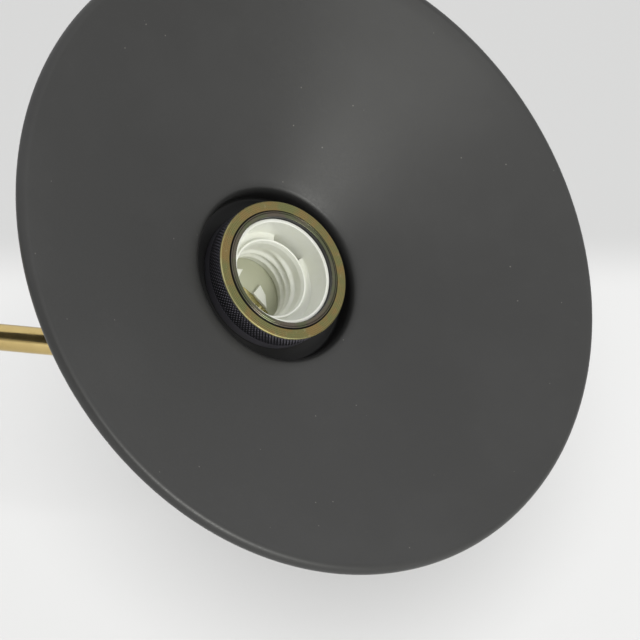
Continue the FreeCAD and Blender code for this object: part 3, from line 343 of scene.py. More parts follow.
def close_up(mesh: bpy.types.Mesh) -> None:
    """Merges doubled points, as at seams and poles, and turns the faces outwards.

    Args:
        mesh: the mesh, which is changed.
    """
    work = bmesh.new()
    work.from_mesh(mesh)
    bmesh.ops.remove_doubles(work, verts=work.verts, dist=SAME_POINT)
    bmesh.ops.dissolve_degenerate(work, edges=work.edges, dist=SLIVER)
    bmesh.ops.recalc_face_normals(work, faces=work.faces)
    work.to_mesh(mesh)
    work.free()


def put_in(name: str, data: bpy.types.ID) -> bpy.types.Object:
    """Makes an object in the scene.

    Args:
        name: its name.
        data: its mesh, lamp or camera.

    Returns:
        The object.
    """
    thing = bpy.data.objects.new(name, data)
    bpy.context.scene.collection.objects.link(thing)
    return thing


def settle(mesh: bpy.types.Mesh, name: str, node: str) -> bpy.types.Object:
    """Makes the object of a mesh, lets it ride the node's body and stand for the node.

    Args:
        mesh: the finished mesh, in the row frame.
        name: the object's name.
        node: the CAD node.

    Returns:
        The object.
    """
    piece = put_in(name, mesh)
    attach(piece, body_of(node))
    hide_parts(node)
    LOG.info("%s: %d faces, for %s", name, len(mesh.polygons), node)
    return piece


def soften(piece: bpy.types.Object, width: float, segments: int) -> bpy.types.Modifier:
    """Eases the edges of a piece.

    Args:
        piece: the piece.
        width: width of the bevels, in millimetres.
        segments: strips in each bevel.

    Returns:
        The modifier.
    """
    bevel = piece.modifiers.new("eased edges", "BEVEL")
    bevel.width, bevel.segments, bevel.harden_normals = width * MM, segments, True
    return bevel


def eased_copy(node: str, finish: "Finish", ease: float) -> None:
    """A CAD node with its sharp edges eased.

    Flat neighbours are joined to one face first, so that only real edges get a bevel.

    Args:
        node: the CAD node.
        finish: its finish.
        ease: width of the bevels, in millimetres.
    """
    name = node + "_eased"
    mesh = frame["nodes"][node].data.copy()
    mesh.name = name
    mesh.materials.clear()
    mesh.materials.append(finish.dressed)
    work = bmesh.new()
    work.from_mesh(mesh)
    bmesh.ops.remove_doubles(work, verts=work.verts, dist=SAME_CAD_POINT)
    bmesh.ops.recalc_face_normals(work, faces=work.faces)
    bmesh.ops.dissolve_limit(work, angle_limit=math.radians(FLAT_WITHIN), verts=work.verts, edges=work.edges)
    for face in work.faces:
        face.material_index = 0
    work.to_mesh(mesh)
    work.free()
    mesh.shade_smooth()
    bevel = soften(settle(mesh, name, node), ease, BEVEL_STRIPS)
    bevel.limit_method, bevel.angle_limit = "ANGLE", math.radians(CREASE)


# Finishes

FLOAT, COLOUR, VECTOR = "NodeSocketFloat", "NodeSocketColor", "NodeSocketVector"

# Blender's numbers of a colour mix's factor and two colours, and of its result
MIX_INPUTS = (0, 6, 7)
MIX_RESULT = 2


class Nodes:
    """Short calls for laying out a node tree."""

    def __init__(self, tree: bpy.types.NodeTree) -> None:
        """Starts on an empty tree."""
        self.tree = tree

    def add(self, kind: str, **settings: object) -> bpy.types.Node:
        """Makes a node.

        Args:
            kind: the node's type.
            **settings: its settings, by name.

        Returns:
            The node.
        """
        node = self.tree.nodes.new(kind)
        for name, value in settings.items():
            setattr(node, name, value)
        return node

    def feed(self, socket: Socket, value: object) -> None:
        """Links a value's socket to an input, or sets the input to a plain value.

        Args:
            socket: the input.
            value: an output, a number, a vector, a colour of three numbers, or None to leave the input.
        """
        if isinstance(value, Socket):
            self.tree.links.new(value, socket)
        elif value is not None:
            is_colour = socket.type == "RGBA" and len(value) == 3
            socket.default_value = (*value, 1.0) if is_colour else value

    def fill(self, node: bpy.types.Node, **values: object) -> bpy.types.Node:
        """Feeds a node's inputs.

        Args:
            node: the node.
            **values: the values by the inputs' names, with _ for a space.

        Returns:
            The same node.
        """
        for name, value in values.items():
            self.feed(node.inputs[name.replace("_", " ")], value)
        return node

    def line_up(self, node: bpy.types.Node, *values: object) -> bpy.types.Node:
        """Feeds a node's first inputs in their order.

        Args:
            node: the node.
            *values: a value for each input.

        Returns:
            The same node.
        """
        for socket, value in zip(node.inputs, values):
            self.feed(socket, value)
        return node

    def math(self, operation: str, *values: object, clamp: bool = False) -> Socket:
        """The result of a sum of up to three values."""
        node = self.add("ShaderNodeMath", operation=operation, use_clamp=clamp)
        return self.line_up(node, *values).outputs[0]

    def times(self, first: object, second: object) -> Socket:
        """One value times another."""
        return self.math("MULTIPLY", first, second)

    def blend(self, share: object, first: object, second: object) -> Socket:
        """A colour between two colours.

        Args:
            share: how much of the second, from 0 to 1.
            first: a colour or its source.
            second: a colour or its source.

        Returns:
            The colour.
        """
        node = self.add("ShaderNodeMix", data_type="RGBA")
        for socket, value in zip(MIX_INPUTS, (share, first, second)):
            self.feed(node.inputs[socket], value)
        return node.outputs[MIX_RESULT]

    def range(self, value: object, low: float, high: float, to_low: float = 0.0,
              to_high: float = 1.0) -> Socket:
        """A value's place between low and high, eased and carried over to another range."""
        node = self.add("ShaderNodeMapRange", interpolation_type="SMOOTHSTEP")
        return self.line_up(node, value, low, high, to_low, to_high).outputs[0]

    def noise(self, where: object, scale: object, detail: float = 2.0, roughness: float = 0.5) -> Socket:
        """Soft noise from 0 to 1 at a number of lumps to the metre."""
        node = self.add("ShaderNodeTexNoise")
        return self.fill(node, Vector=where, Scale=scale, Detail=detail, Roughness=roughness).outputs["Fac"]

    def group(self, tree: bpy.types.NodeTree, **values: object) -> Outputs:
        """The outputs of a shared effect, given its inputs by name."""
        return self.fill(self.add("ShaderNodeGroup", node_tree=tree), **values).outputs

    def parts(self, vector: Socket) -> tuple[Socket, ...]:
        """The three numbers of a vector."""
        return tuple(self.line_up(self.add("ShaderNodeSeparateXYZ"), vector).outputs)


def effect(name: str, inputs: dict[str, tuple[str, Optional[float]]], outputs: dict[str, str],
           lay_out: Callable[[Nodes, dict], dict]) -> bpy.types.NodeTree:
    """A shared effect as a shader node group.

    Args:
        name: the group's name.
        inputs: socket type and plain value of each input.
        outputs: socket type of each output.
        lay_out: makes the nodes and gives each output's source.

    Returns:
        The node group.
    """
    tree = bpy.data.node_groups.new(name, "ShaderNodeTree")
    for label, (kind, value) in inputs.items():
        socket = tree.interface.new_socket(label, in_out="INPUT", socket_type=kind)
        if value is not None:
            socket.default_value = value
    for label, kind in outputs.items():
        tree.interface.new_socket(label, in_out="OUTPUT", socket_type=kind)
    nodes = Nodes(tree)
    start, end = nodes.add("NodeGroupInput"), nodes.add("NodeGroupOutput")
    nodes.fill(end, **lay_out(nodes, {label: start.outputs[label] for label in inputs}))
    return tree


@dataclass(frozen=True)
class Effects:
    """The shared effects: how each one's nodes are laid out, and the limits that it cuts its noise at."""

    grain_fineness: float = 4.0
    grain_share: float = 0.25
    grain_mask: Spot = (0.4, 0.65)
    cloud: Spot = (0.42, 0.68)
    cloud_noise: Spot = (4.0, 0.6)
    speck: Spot = (0.62, 0.72)
    speck_fineness: float = 14.0
    speck_share: float = 0.5
    dust_size: Spot = (0.05, 0.11)
    dust_chosen: Spot = (0.955, 0.965)
    tooling_noise: Spot = (3.0, 0.7)

    def lay_grain(self, nodes: Nodes, given: dict) -> dict:
        """Fine unevenness on two scales: noise, and a quarter of noise four times finer.

        Args:
            nodes: the group's nodes.
            given: its inputs by name.

        Returns:
            The sources of its outputs by name.
        """
        coarse = nodes.noise(given["Where"], given["Scale"])
        fine = nodes.noise(given["Where"], nodes.times(given["Scale"], self.grain_fineness), 1.0)
        height = nodes.math("MULTIPLY_ADD", fine, self.grain_share, coarse)
        return {"Height": height, "Mask": nodes.range(coarse, *self.grain_mask)}

    def lay_tarnish(self, nodes: Nodes, given: dict) -> dict:
        """Clouds of a second colour over the first, and small darker specks.

        Args:
            nodes: the group's nodes.
            given: its inputs by name.

        Returns:
            The sources of its outputs by name.
        """
        cloud = nodes.range(nodes.noise(given["Where"], given["Scale"], *self.cloud_noise), *self.cloud)
        specks = nodes.noise(given["Where"], nodes.times(given["Scale"], self.speck_fineness))
        specks = nodes.range(specks, *self.speck)
        share = nodes.math("MULTIPLY_ADD", specks, self.speck_share, cloud, clamp=True)
        share = nodes.times(share, given["Amount"])
        return {"Colour": nodes.blend(share, given["Clean"], given["Tarnished"]), "Mask": share}

    def lay_dust(self, nodes: Nodes, given: dict) -> dict:
        """A few small round specks: points nearer than a size to the middles of some of the cells.

        Args:
            nodes: the group's nodes.
            given: its inputs by name.

        Returns:
            The source of its output by name.
        """
        cells = nodes.add("ShaderNodeTexVoronoi", feature="F1")
        nodes.fill(cells, Vector=given["Where"], Scale=given["Scale"])
        near = nodes.range(cells.outputs["Distance"], *self.dust_size, 1.0, 0.0)
        chosen = nodes.range(nodes.parts(cells.outputs["Color"])[0], *self.dust_chosen)
        return {"Mask": nodes.times(nodes.times(near, chosen), given["Amount"])}

    def lay_tooling(self, nodes: Nodes, given: dict) -> dict:
        """Fine rings left by a lathe: noise read along the axis and the radius only.

        Args:
            nodes: the group's nodes.
            given: its inputs by name.

        Returns:
            The sources of its outputs by name.
        """
        x, y, z = nodes.parts(given["Turned"])
        radius = nodes.math("SQRT", nodes.math("ADD", nodes.times(x, x), nodes.times(y, y)))
        across = nodes.line_up(nodes.add("ShaderNodeCombineXYZ"), radius, z)
        rings = nodes.noise(across.outputs[0], given["Rings"], *self.tooling_noise)
        return {"Height": rings, "Radius": radius, "Along": z}


EFFECTS = Effects()
WHERE = {"Where": (VECTOR, None)}
GRAIN = effect("grain", {**WHERE, "Scale": (FLOAT, 900.0)}, {"Height": FLOAT, "Mask": FLOAT},
               EFFECTS.lay_grain)
TARNISH = effect("tarnish", {**WHERE, "Scale": (FLOAT, 60.0), "Amount": (FLOAT, 0.5), "Clean": (COLOUR, None),
                             "Tarnished": (COLOUR, None)},
                 {"Colour": COLOUR, "Mask": FLOAT}, EFFECTS.lay_tarnish)
DUST = effect("dust", {**WHERE, "Scale": (FLOAT, 250.0), "Amount": (FLOAT, 0.5)}, {"Mask": FLOAT},
              EFFECTS.lay_dust)
TOOLING = effect("tooling", {"Turned": (VECTOR, None), "Rings": (FLOAT, 8.0)},
                 {"Height": FLOAT, "Radius": FLOAT, "Along": FLOAT}, EFFECTS.lay_tooling)


class Coating(Nodes):
    """The nodes of one material round its Principled BSDF, with the shared effects at hand."""

    def __init__(self, name: str) -> None:
        """Makes the material with its shader.

        Args:
            name: the finish's name.
        """
        self.material = bpy.data.materials.new(name + "_finish")
        self.material.use_nodes = True
        self.material.node_tree.nodes.clear()
        super().__init__(self.material.node_tree)
        self.shader = self.add("ShaderNodeBsdfPrincipled")
        self.fill(self.add("ShaderNodeOutputMaterial"), Surface=self.shader.outputs[0])
        self.where = self.add("ShaderNodeTexCoord").outputs["Object"]

    def give(self, **values: object) -> None:
        """Links or sets the shader's inputs, by name."""
        self.fill(self.shader, **values)

    def clouds(self, clean: Colour, worn: Colour, scale: float, amount: float) -> Outputs:
        """Colour and mask of clouds between two colours."""
        return self.group(TARNISH, Where=self.where, Scale=scale, Amount=amount, Clean=clean, Tarnished=worn)

    def grain(self, scale: float) -> Outputs:
        """Height and mask of a fine unevenness."""
        return self.group(GRAIN, Where=self.where, Scale=scale)

    def specks(self, scale: float, amount: float) -> Socket:
        """The mask of small round specks."""
        return self.group(DUST, Where=self.where, Scale=scale, Amount=amount)["Mask"]

    def swing(self, value: Socket, limits: Spot, middle: float, spread: float) -> Socket:
        """A number about its middle that grows by twice its spread as a value goes between two limits."""
        return self.range(value, *limits, middle - spread, middle + spread)

    def tooling(self, rings: Optional[float] = None) -> Outputs:
        """Height of the lathe's rings, and the place's radius and height on the lathe, in millimetres."""
        turned = self.add("ShaderNodeAttribute", attribute_name="turned").outputs["Vector"]
        return self.group(TOOLING, Turned=turned, Rings=rings)

    def relief(self, height: Socket, strength: float, depth: float) -> None:
        """Lets a height bend the shader's normal.

        Args:
            height: heights from 0 to 1.
            strength: share of the effect.
            depth: the real depth of a height of 1, in millimetres.
        """
        bump = self.fill(self.add("ShaderNodeBump"), Strength=strength, Distance=depth * MM, Height=height)
        self.give(Normal=bump.outputs[0])


@dataclass(frozen=True)
class Paint:
    """A sprayed or stoved coat with a fine skin, a little cloudiness and dust.

    Where a recess is given, colour, roughness and gloss blend to the recess's values between two radii of the
    lathe, in millimetres. This is partly painted light: shade in the shade's neck, and the ring's pale knurl
    crests as painted highlights.
    """

    name: str
    colour: Colour
    worn: Colour
    roughness: float
    spread: float = 0.05
    cloud_scale: float = 22.0
    cloud_amount: float = 0.8
    skin: float = 0.02
    skin_scale: float = 1400.0
    skin_heights: Spot = (0.35, 0.9)
    skin_strength: float = 0.6
    dust: float = 0.0
    dust_scale: float = 330.0
    dust_colour: Colour = (0.42, 0.40, 0.36)
    gloss: float = 0.5
    recess: Spot = (0.0, 0.0)
    recess_colour: Colour = (0.009, 0.009, 0.009)
    recess_roughness: float = 0.2
    recess_gloss: float = 0.5

    def material(self) -> bpy.types.Material:
        """Clouds between two shades of the coat, dust on top, and the skin as relief.

        Returns:
            The material.
        """
        coat = Coating(self.name)
        colour = coat.clouds(self.colour, self.worn, self.cloud_scale, self.cloud_amount)["Colour"]
        skin = coat.grain(self.skin_scale)["Height"]
        if self.dust:
            colour = coat.blend(coat.specks(self.dust_scale, self.dust), colour, self.dust_colour)
        rough = coat.swing(skin, self.skin_heights, self.roughness, self.spread)
        gloss = self.gloss
        # Recess: painted shade in the shade's neck; on the ring, dark grooves under pale crests that are painted
        # highlights.
        if self.recess[1]:
            outside = coat.range(coat.tooling()["Radius"], *self.recess)
            colour = coat.blend(outside, self.recess_colour, colour)
            rough = coat.math("MULTIPLY_ADD", coat.math("SUBTRACT", rough, self.recess_roughness), outside,
                              self.recess_roughness)
            gloss = coat.math("MULTIPLY_ADD", outside, self.gloss - self.recess_gloss, self.recess_gloss)
        coat.give(Base_Color=colour, Roughness=rough, Specular_IOR_Level=gloss)
        coat.relief(skin, self.skin_strength, self.skin)
        return coat.material


@dataclass(frozen=True)
class Metal:
    """An uncoated, plated or lacquered metal: tarnish clouds, and tooling or brushing as relief."""

    name: str
    colour: Colour
    tarnished: Colour
    roughness: float
    spread: float = 0.06
    tarnish: float = 0.5
    tarnish_scale: float = 70.0
    full_tarnish: float = 0.6
    rings: float = 0.0
    brushing: float = 2600.0
    scratch: float = 0.004
    scratch_strength: float = 0.5
    coat: float = 0.0
    coat_roughness: float = 0.12

    def material(self) -> bpy.types.Material:
        """Tarnish in the colour and the roughness; rings read from the lathe, or fine scratches.

        Returns:
            The material.
        """
        coat = Coating(self.name)
        tarnish = coat.clouds(self.colour, self.tarnished, self.tarnish_scale, self.tarnish)
        rough = coat.swing(tarnish["Mask"], (0.0, self.full_tarnish), self.roughness, self.spread)
        coat.give(Base_Color=tarnish["Colour"], Roughness=rough, Metallic=1.0, Coat_Weight=self.coat,
                  Coat_Roughness=self.coat_roughness)
        lines = coat.tooling(self.rings) if self.rings else coat.grain(self.brushing)
        coat.relief(lines["Height"], self.scratch_strength, self.scratch)
        return coat.material


@dataclass(frozen=True)
class IridescentBrass:
    """Brass given a brown chemical finish, turned, with two colours in its thin film and paler worn places."""

    name: str
    olive: Colour
    orange: Colour
    pale: Colour
    roughness: float = 0.30
    worn: float = 0.5
    smoother: float = 0.05
    rougher: float = 0.08
    rings: float = 5.0
    bands: Spot = (0.35, 0.7)
    band_share: float = 0.35
    cloud_noise: Vector = (110.0, 3.0, 0.6)
    cloud: Spot = (0.4, 0.66)
    wear_noise: Vector = (420.0, 3.0, 0.7)
    wear: Spot = (0.6, 0.75)
    scratch: float = 0.006
    scratch_strength: float = 0.5

    def material(self) -> bpy.types.Material:
        """Bands and clouds of the film's colours, with the lathe's rings as relief.

        Returns:
            The material.
        """
        coat = Coating(self.name)
        rings = coat.tooling(self.rings)["Height"]
        bands = coat.range(rings, *self.bands)
        clouds = coat.range(coat.noise(coat.where, *self.cloud_noise), *self.cloud)
        share = coat.math("MULTIPLY_ADD", bands, self.band_share, clouds, clamp=True)
        worn = coat.times(coat.range(coat.noise(coat.where, *self.wear_noise), *self.wear), self.worn)
        rough = coat.range(bands, 0.0, 1.0, self.roughness - self.smoother, self.roughness + self.rougher)
        coat.give(Base_Color=coat.blend(worn, coat.blend(share, self.olive, self.orange), self.pale),
                  Roughness=rough, Metallic=1.0)
        coat.relief(rings, self.scratch_strength, self.scratch)
        return coat.material


@dataclass(frozen=True)
class Ceramic:
    """Glazed porcelain: faint clouds and pinholes under a clear glaze.

    A lathed piece is darker and olive below a height, in millimetres: painted shade on the socket's floor, deep
    inside.
    """

    name: str = "glazed_ceramic"
    colour: Colour = (0.80, 0.81, 0.75)
    warm: Colour = (0.76, 0.77, 0.67)
    cloud_scale: float = 90.0
    cloud_amount: float = 0.6
    pinhole: Colour = (0.30, 0.28, 0.20)
    pinhole_scale: float = 1400.0
    pinhole_amount: float = 0.45
    # Painted shade deep in the socket: its colour, and the heights that it lies below.
    painted_shade: Colour = (0.47, 0.48, 0.36)
    painted_shade_heights: Spot = (71.0, 71.5)
    lathed: Spot = (1.0, 2.0)
    roughness: float = 0.32
    rougher: float = 0.1
    glaze: float = 0.35
    glaze_roughness: float = 0.08
    skin: float = 0.02
    skin_scale: float = 380.0
    skin_strength: float = 0.4

    def material(self) -> bpy.types.Material:
        """Clouds and pinholes in the colour, with the glaze as a coat.

        Returns:
            The material.
        """
        coat = Coating(self.name)
        clouds = coat.clouds(self.colour, self.warm, self.cloud_scale, self.cloud_amount)["Colour"]
        pinholes = coat.specks(self.pinhole_scale, self.pinhole_amount)
        # Painted shade: darker and olive below the given heights, on lathed pieces only.
        height = coat.tooling()["Along"]
        painted_shade = coat.times(coat.range(height, *self.painted_shade_heights, 1.0, 0.0), coat.range(height, *self.lathed))
        colour = coat.blend(pinholes, coat.blend(painted_shade, clouds, self.painted_shade), self.pinhole)
        grain = coat.grain(self.skin_scale)
        rough = coat.range(grain["Mask"], 0.0, 1.0, self.roughness, self.roughness + self.rougher)
        coat.give(Base_Color=colour, Roughness=rough, Coat_Weight=self.glaze,
                  Coat_Roughness=self.glaze_roughness)
        coat.relief(grain["Height"], self.skin_strength, self.skin)
        return coat.material


# How much paler the clouds on a moulding are: a factor, and a part added to it
CLOUD_GAIN, CLOUD_LIFT = 1.25, 0.004


def moulding(name: str, colour: Colour, roughness: float = 0.42) -> Paint:
    """Moulded plastic: a little paler in clouds, with the spark-eroded skin of its mould.

    Args:
        name: the finish's name.
        colour: its colour.
        roughness: its roughness.

    Returns:
        The finish.
    """
    paler = tuple(min(1.0, channel * CLOUD_GAIN + CLOUD_LIFT) for channel in colour)
    return Paint(name, colour, paler, roughness, spread=0.06, cloud_scale=140.0, cloud_amount=0.5,
                 skin=0.015, skin_scale=3200.0, skin_strength=0.5)


@functools.cache
def made(finish: "Paint | Metal | IridescentBrass | Ceramic") -> bpy.types.Material:
    """The finish's material, made on first use."""
    return finish.material()


class Finish(Enum):
    """The lamp's finishes, by the record's material slots and their further parts."""

    # Inside the recess radii the shade's neck and flange turn darker and less glossy: partly a black coat, partly
    # painted shade of the deep neck.
    SHADE_PAINT = Paint("shade_paint", (0.025, 0.025, 0.0242), (0.030, 0.030, 0.0292), 0.40, dust=0.32,
                        recess=(28.5, 35.0), recess_colour=(0.017, 0.017, 0.017), recess_roughness=0.32,
                        recess_gloss=0.14)
    HUSK_ENAMEL = Paint("husk_enamel", (0.010, 0.010, 0.010), (0.014, 0.014, 0.0135), 0.14, spread=0.03,
                        skin=0.008)
    SATIN_BRASS = Metal("satin_brass", (0.60, 0.46, 0.20), (0.47, 0.35, 0.14), 0.24)
    TURNED_BRASS = Metal("turned_brass", (0.60, 0.46, 0.20), (0.47, 0.35, 0.14), 0.22, rings=6.0)
    BROWNED_BRASS = IridescentBrass("browned_brass", (0.165, 0.178, 0.075), (0.235, 0.170, 0.070),
                                    (0.38, 0.36, 0.22))
    # The ring's front edge: worn brass, made paler as a painted highlight.
    WORN_EDGE_AND_HIGHLIGHT = IridescentBrass("worn_edge_and_highlight", (0.56, 0.54, 0.27), (0.45, 0.39, 0.17), (0.72, 0.69, 0.44), 0.36)
    # Pale bluish knurl crests are painted highlights over the blackened grooves; as black, it also paints shade on
    # the ring's inner bevel and the holder lip's sides.
    RING_BLACK = Paint("ring_black", (0.30, 0.29, 0.34), (0.42, 0.40, 0.47), 0.30, recess=(25.08, 25.5),
                       recess_colour=(0.012, 0.012, 0.014), recess_roughness=0.35)
    LAMPHOLDER_METAL = IridescentBrass("lampholder_metal", (0.110, 0.125, 0.070), (0.125, 0.105, 0.085),
                                       (0.24, 0.24, 0.17), 0.22, 0.3)
    WHITE_CERAMIC = Ceramic()
    CONTACT_BRASS = Metal("contact_brass", (0.48, 0.43, 0.20), (0.29, 0.25, 0.10), 0.28, tarnish_scale=300.0)
    PLATED_STEEL = Metal("plated_steel", (0.58, 0.58, 0.56), (0.45, 0.44, 0.40), 0.27)
    SWITCH_METAL = Metal("switch_metal", (0.62, 0.60, 0.55), (0.50, 0.48, 0.42), 0.15, tarnish=0.3, coat=0.3)
    BLACK_MOULDING = moulding("black_moulding", (0.016, 0.016, 0.016))
    TERMINAL_MOULDING = moulding("terminal_moulding", (0.68, 0.66, 0.58), 0.38)
    NYLON = moulding("nylon", (0.62, 0.61, 0.55), 0.34)

    @property
    def dressed(self) -> bpy.types.Material:
        """The finish's material."""
        return made(self.value)

    @property
    def slot(self) -> str:
        """The record's material slot of the same name."""
        return self.name.lower()


@dataclass(frozen=True)
class Eased:
    """CAD nodes of one finish that keep their shape, with their edges eased by a width in millimetres."""

    finish: Finish
    ease: float
    nodes: tuple[str, ...]


def ease_all(groups: Sequence[Eased]) -> None:
    """Makes the eased copies of groups of CAD nodes.

    Args:
        groups: the groups, in the order in which their pieces are made.
    """
    for group in groups:
        for node in group.nodes:
            eased_copy(node, group.finish, group.ease)


# Head

@dataclass
class Shade:
    """The wide cone: its rim rolled back, its neck and the flange that the ring clamps. Millimetres."""

    roll: float = 2.5
    sweep: float = 250.0
    wall: float = 1.0
    neck: float = 31.0
    neck_depth: float = 31.0
    bend: float = 3.3
    press: float = 1.2
    bore_edge: float = 0.25
    sides: int = 360
    bend_points: int = 9
    roll_points: int = 30
    row: float = 6.0
    span: Span = spanned("shade", HEAD)

    def lean(self) -> float:
        """Slope of the sheet: it starts at the neck's corner and touches the roll, in radians."""
        run, rise = self.span.outer - self.roll - self.neck, self.neck_depth - self.roll
        return math.atan(rise / run) + math.asin(self.roll / math.hypot(run, rise))

    def on_roll(self, radius: float, swept: np.ndarray) -> np.ndarray:
        """Points round the roll's middle: a radius times (-sin, cos) of the lean less the swept angle.

        Args:
            radius: how far the points are from the roll's middle.
            swept: angles from the sheet's end, in degrees.

        Returns:
            Radius from the axis and height of each point.
        """
        angle = self.lean() - np.radians(swept)
        middle = np.array([self.span.outer - self.roll, self.span.front - self.roll])
        return middle + radius * np.stack([-np.sin(angle), np.cos(angle)], axis=-1)

    def profile(self) -> np.ndarray:
        """The sheet's outline: in along the front, round the flange, out along the back, round the roll.

        Returns:
            Radius and height of each point.
        """
        lean, bore, back = self.lean(), self.span.inner, self.span.back
        mouth = self.span.front - self.neck_depth
        flange, outer_neck = back + self.wall, self.neck + self.wall
        outer_corner = mouth + self.wall * (math.tan(lean) - 1 / math.cos(lean))
        swept = np.linspace(0, self.sweep, self.roll_points)
        inside, outside = self.on_roll(self.roll - self.wall, swept), self.on_roll(self.roll, swept[::-1])
        sheet = eased_outline([
            (*outside[-1], 0), (self.neck, mouth, self.bend), (self.neck, flange, self.press),
            (bore, flange, self.bore_edge), (bore, back, self.bore_edge),
            (outer_neck, back, self.press + self.wall), (outer_neck, outer_corner, self.bend - self.wall),
            (*inside[0], 0),
        ], self.bend_points, closed=False)
        return np.concatenate([sheet, inside[1:], outside[:-1]])

    def build(self) -> None:
        """Makes the shade."""
        surface = lathe(finer(self.profile(), self.row), around(self.sides))
        make_piece("shade_cone", "shade", HEAD, surface, [Finish.SHADE_PAINT])


@dataclass
class RetainingRing:
    """The ring on the lampholder's skirt: a turned brass face and a blackened diamond knurl. Millimetres."""

    teeth: int = 130
    tooth_depth: float = 0.42
    helix: float = 30.0
    knurl: float = 8.7
    run_out: float = 0.45
    back_end: float = 0.5
    # The side narrows towards the back; through the ring finish's recess radii this also darkens the knurl's back
    # as painted shade.
    taper: float = 0.17
    step: float = 0.3
    step_run: float = 0.2
    bevel: float = 0.35
    land: float = 0.55
    back_bore_edge: float = 0.1
    back_edge: float = 0.3
    front_edge: float = 0.08
    fine_edge: float = 0.05
    edge_points: int = 4
    samples: int = 6
    near: float = 0.02
    crease: float = 50.0
    span: Span = spanned("retaining_ring", HEAD)

    @property
    def diamond(self) -> float:
        """Length of a diamond along the ring: a tooth's width over the tangent of the helix angle."""
        return 2 * math.pi * self.span.outer / self.teeth / math.tan(math.radians(self.helix))

    def profile(self) -> np.ndarray:
        """The ring's section, with rows for the knurl as close as its columns.

        Returns:
            Radius and height of each point.
        """
        span, bevel, low = self.span, self.bevel, self.span.front - self.knurl
        corners = [
            (span.inner, span.back, self.back_bore_edge),
            (span.outer - self.step, span.back, self.back_edge),
            (span.outer - self.step, low - self.step_run, self.fine_edge),
            (span.outer - self.taper, low, self.fine_edge),
            (span.outer, span.front - bevel, self.front_edge),
            (span.outer - bevel, span.front, self.front_edge),
            (span.inner + bevel, span.front, self.fine_edge),
            (span.inner, span.front - 2 * bevel, self.fine_edge),
        ]
        return finer(eased_outline(corners, self.edge_points), self.diamond / self.samples)

    def cut_knurl(self, angle: np.ndarray, radius: np.ndarray, height: np.ndarray) -> Surface:
        """Takes two crossing families of grooves out of the side.

        Each family's phase is the tooth's number plus or minus the height over a diamond's length. A groove
        is as deep as the larger of the two triangle waves. It runs out at the front and is shallower at the
        step behind the knurl.

        Args:
            angle: each point's angle, in radians.
            radius: its radius.
            height: its height.

        Returns:
            The radius with the knurl cut, and the height.
        """
        around_ring, along_ring = angle * self.teeth / (2 * math.pi), height / self.diamond
        left = np.abs((around_ring + along_ring) % 1 - 0.5) * 2
        right = np.abs((around_ring - along_ring) % 1 - 0.5) * 2
        deep = 1 - np.minimum(left, right)
        low, high = self.span.front - self.knurl, self.span.front - self.bevel - self.land
        rise = self.back_end + (1 - self.back_end) * ramp_up(height, low, low + self.run_out)
        ends = rise * (1 - ramp_up(height, high - self.run_out, high))
        at_side = radius > self.span.outer - self.taper - self.near
        return radius - self.tooth_depth * deep * ends * at_side, height

    def pick(self, middles: np.ndarray) -> np.ndarray:
        """Face 0; side, back and inner bevel 1, the bevel black as painted shade of the groove; front edge 2, worn
        brass and a painted highlight.

        Args:
            middles: the middle of each face.

        Returns:
            The number of each face's finish.
        """
        reach = off_axis(middles)
        side = middles[:, 2] < self.span.front - self.bevel - self.land
        dark = side | (reach < self.span.inner + self.bevel)
        return np.where(dark, 1, np.where(reach > self.span.outer - self.bevel, 2, 0))

    def build(self) -> None:
        """Makes the ring."""
        surface = lathe(self.profile(), around(self.teeth * self.samples), shift=self.cut_knurl)
        finishes = [Finish.BROWNED_BRASS, Finish.RING_BLACK, Finish.WORN_EDGE_AND_HIGHLIGHT]
        make_piece("ring_knurled", "retaining_ring", HEAD, surface, finishes, self.crease,
                   self.pick)


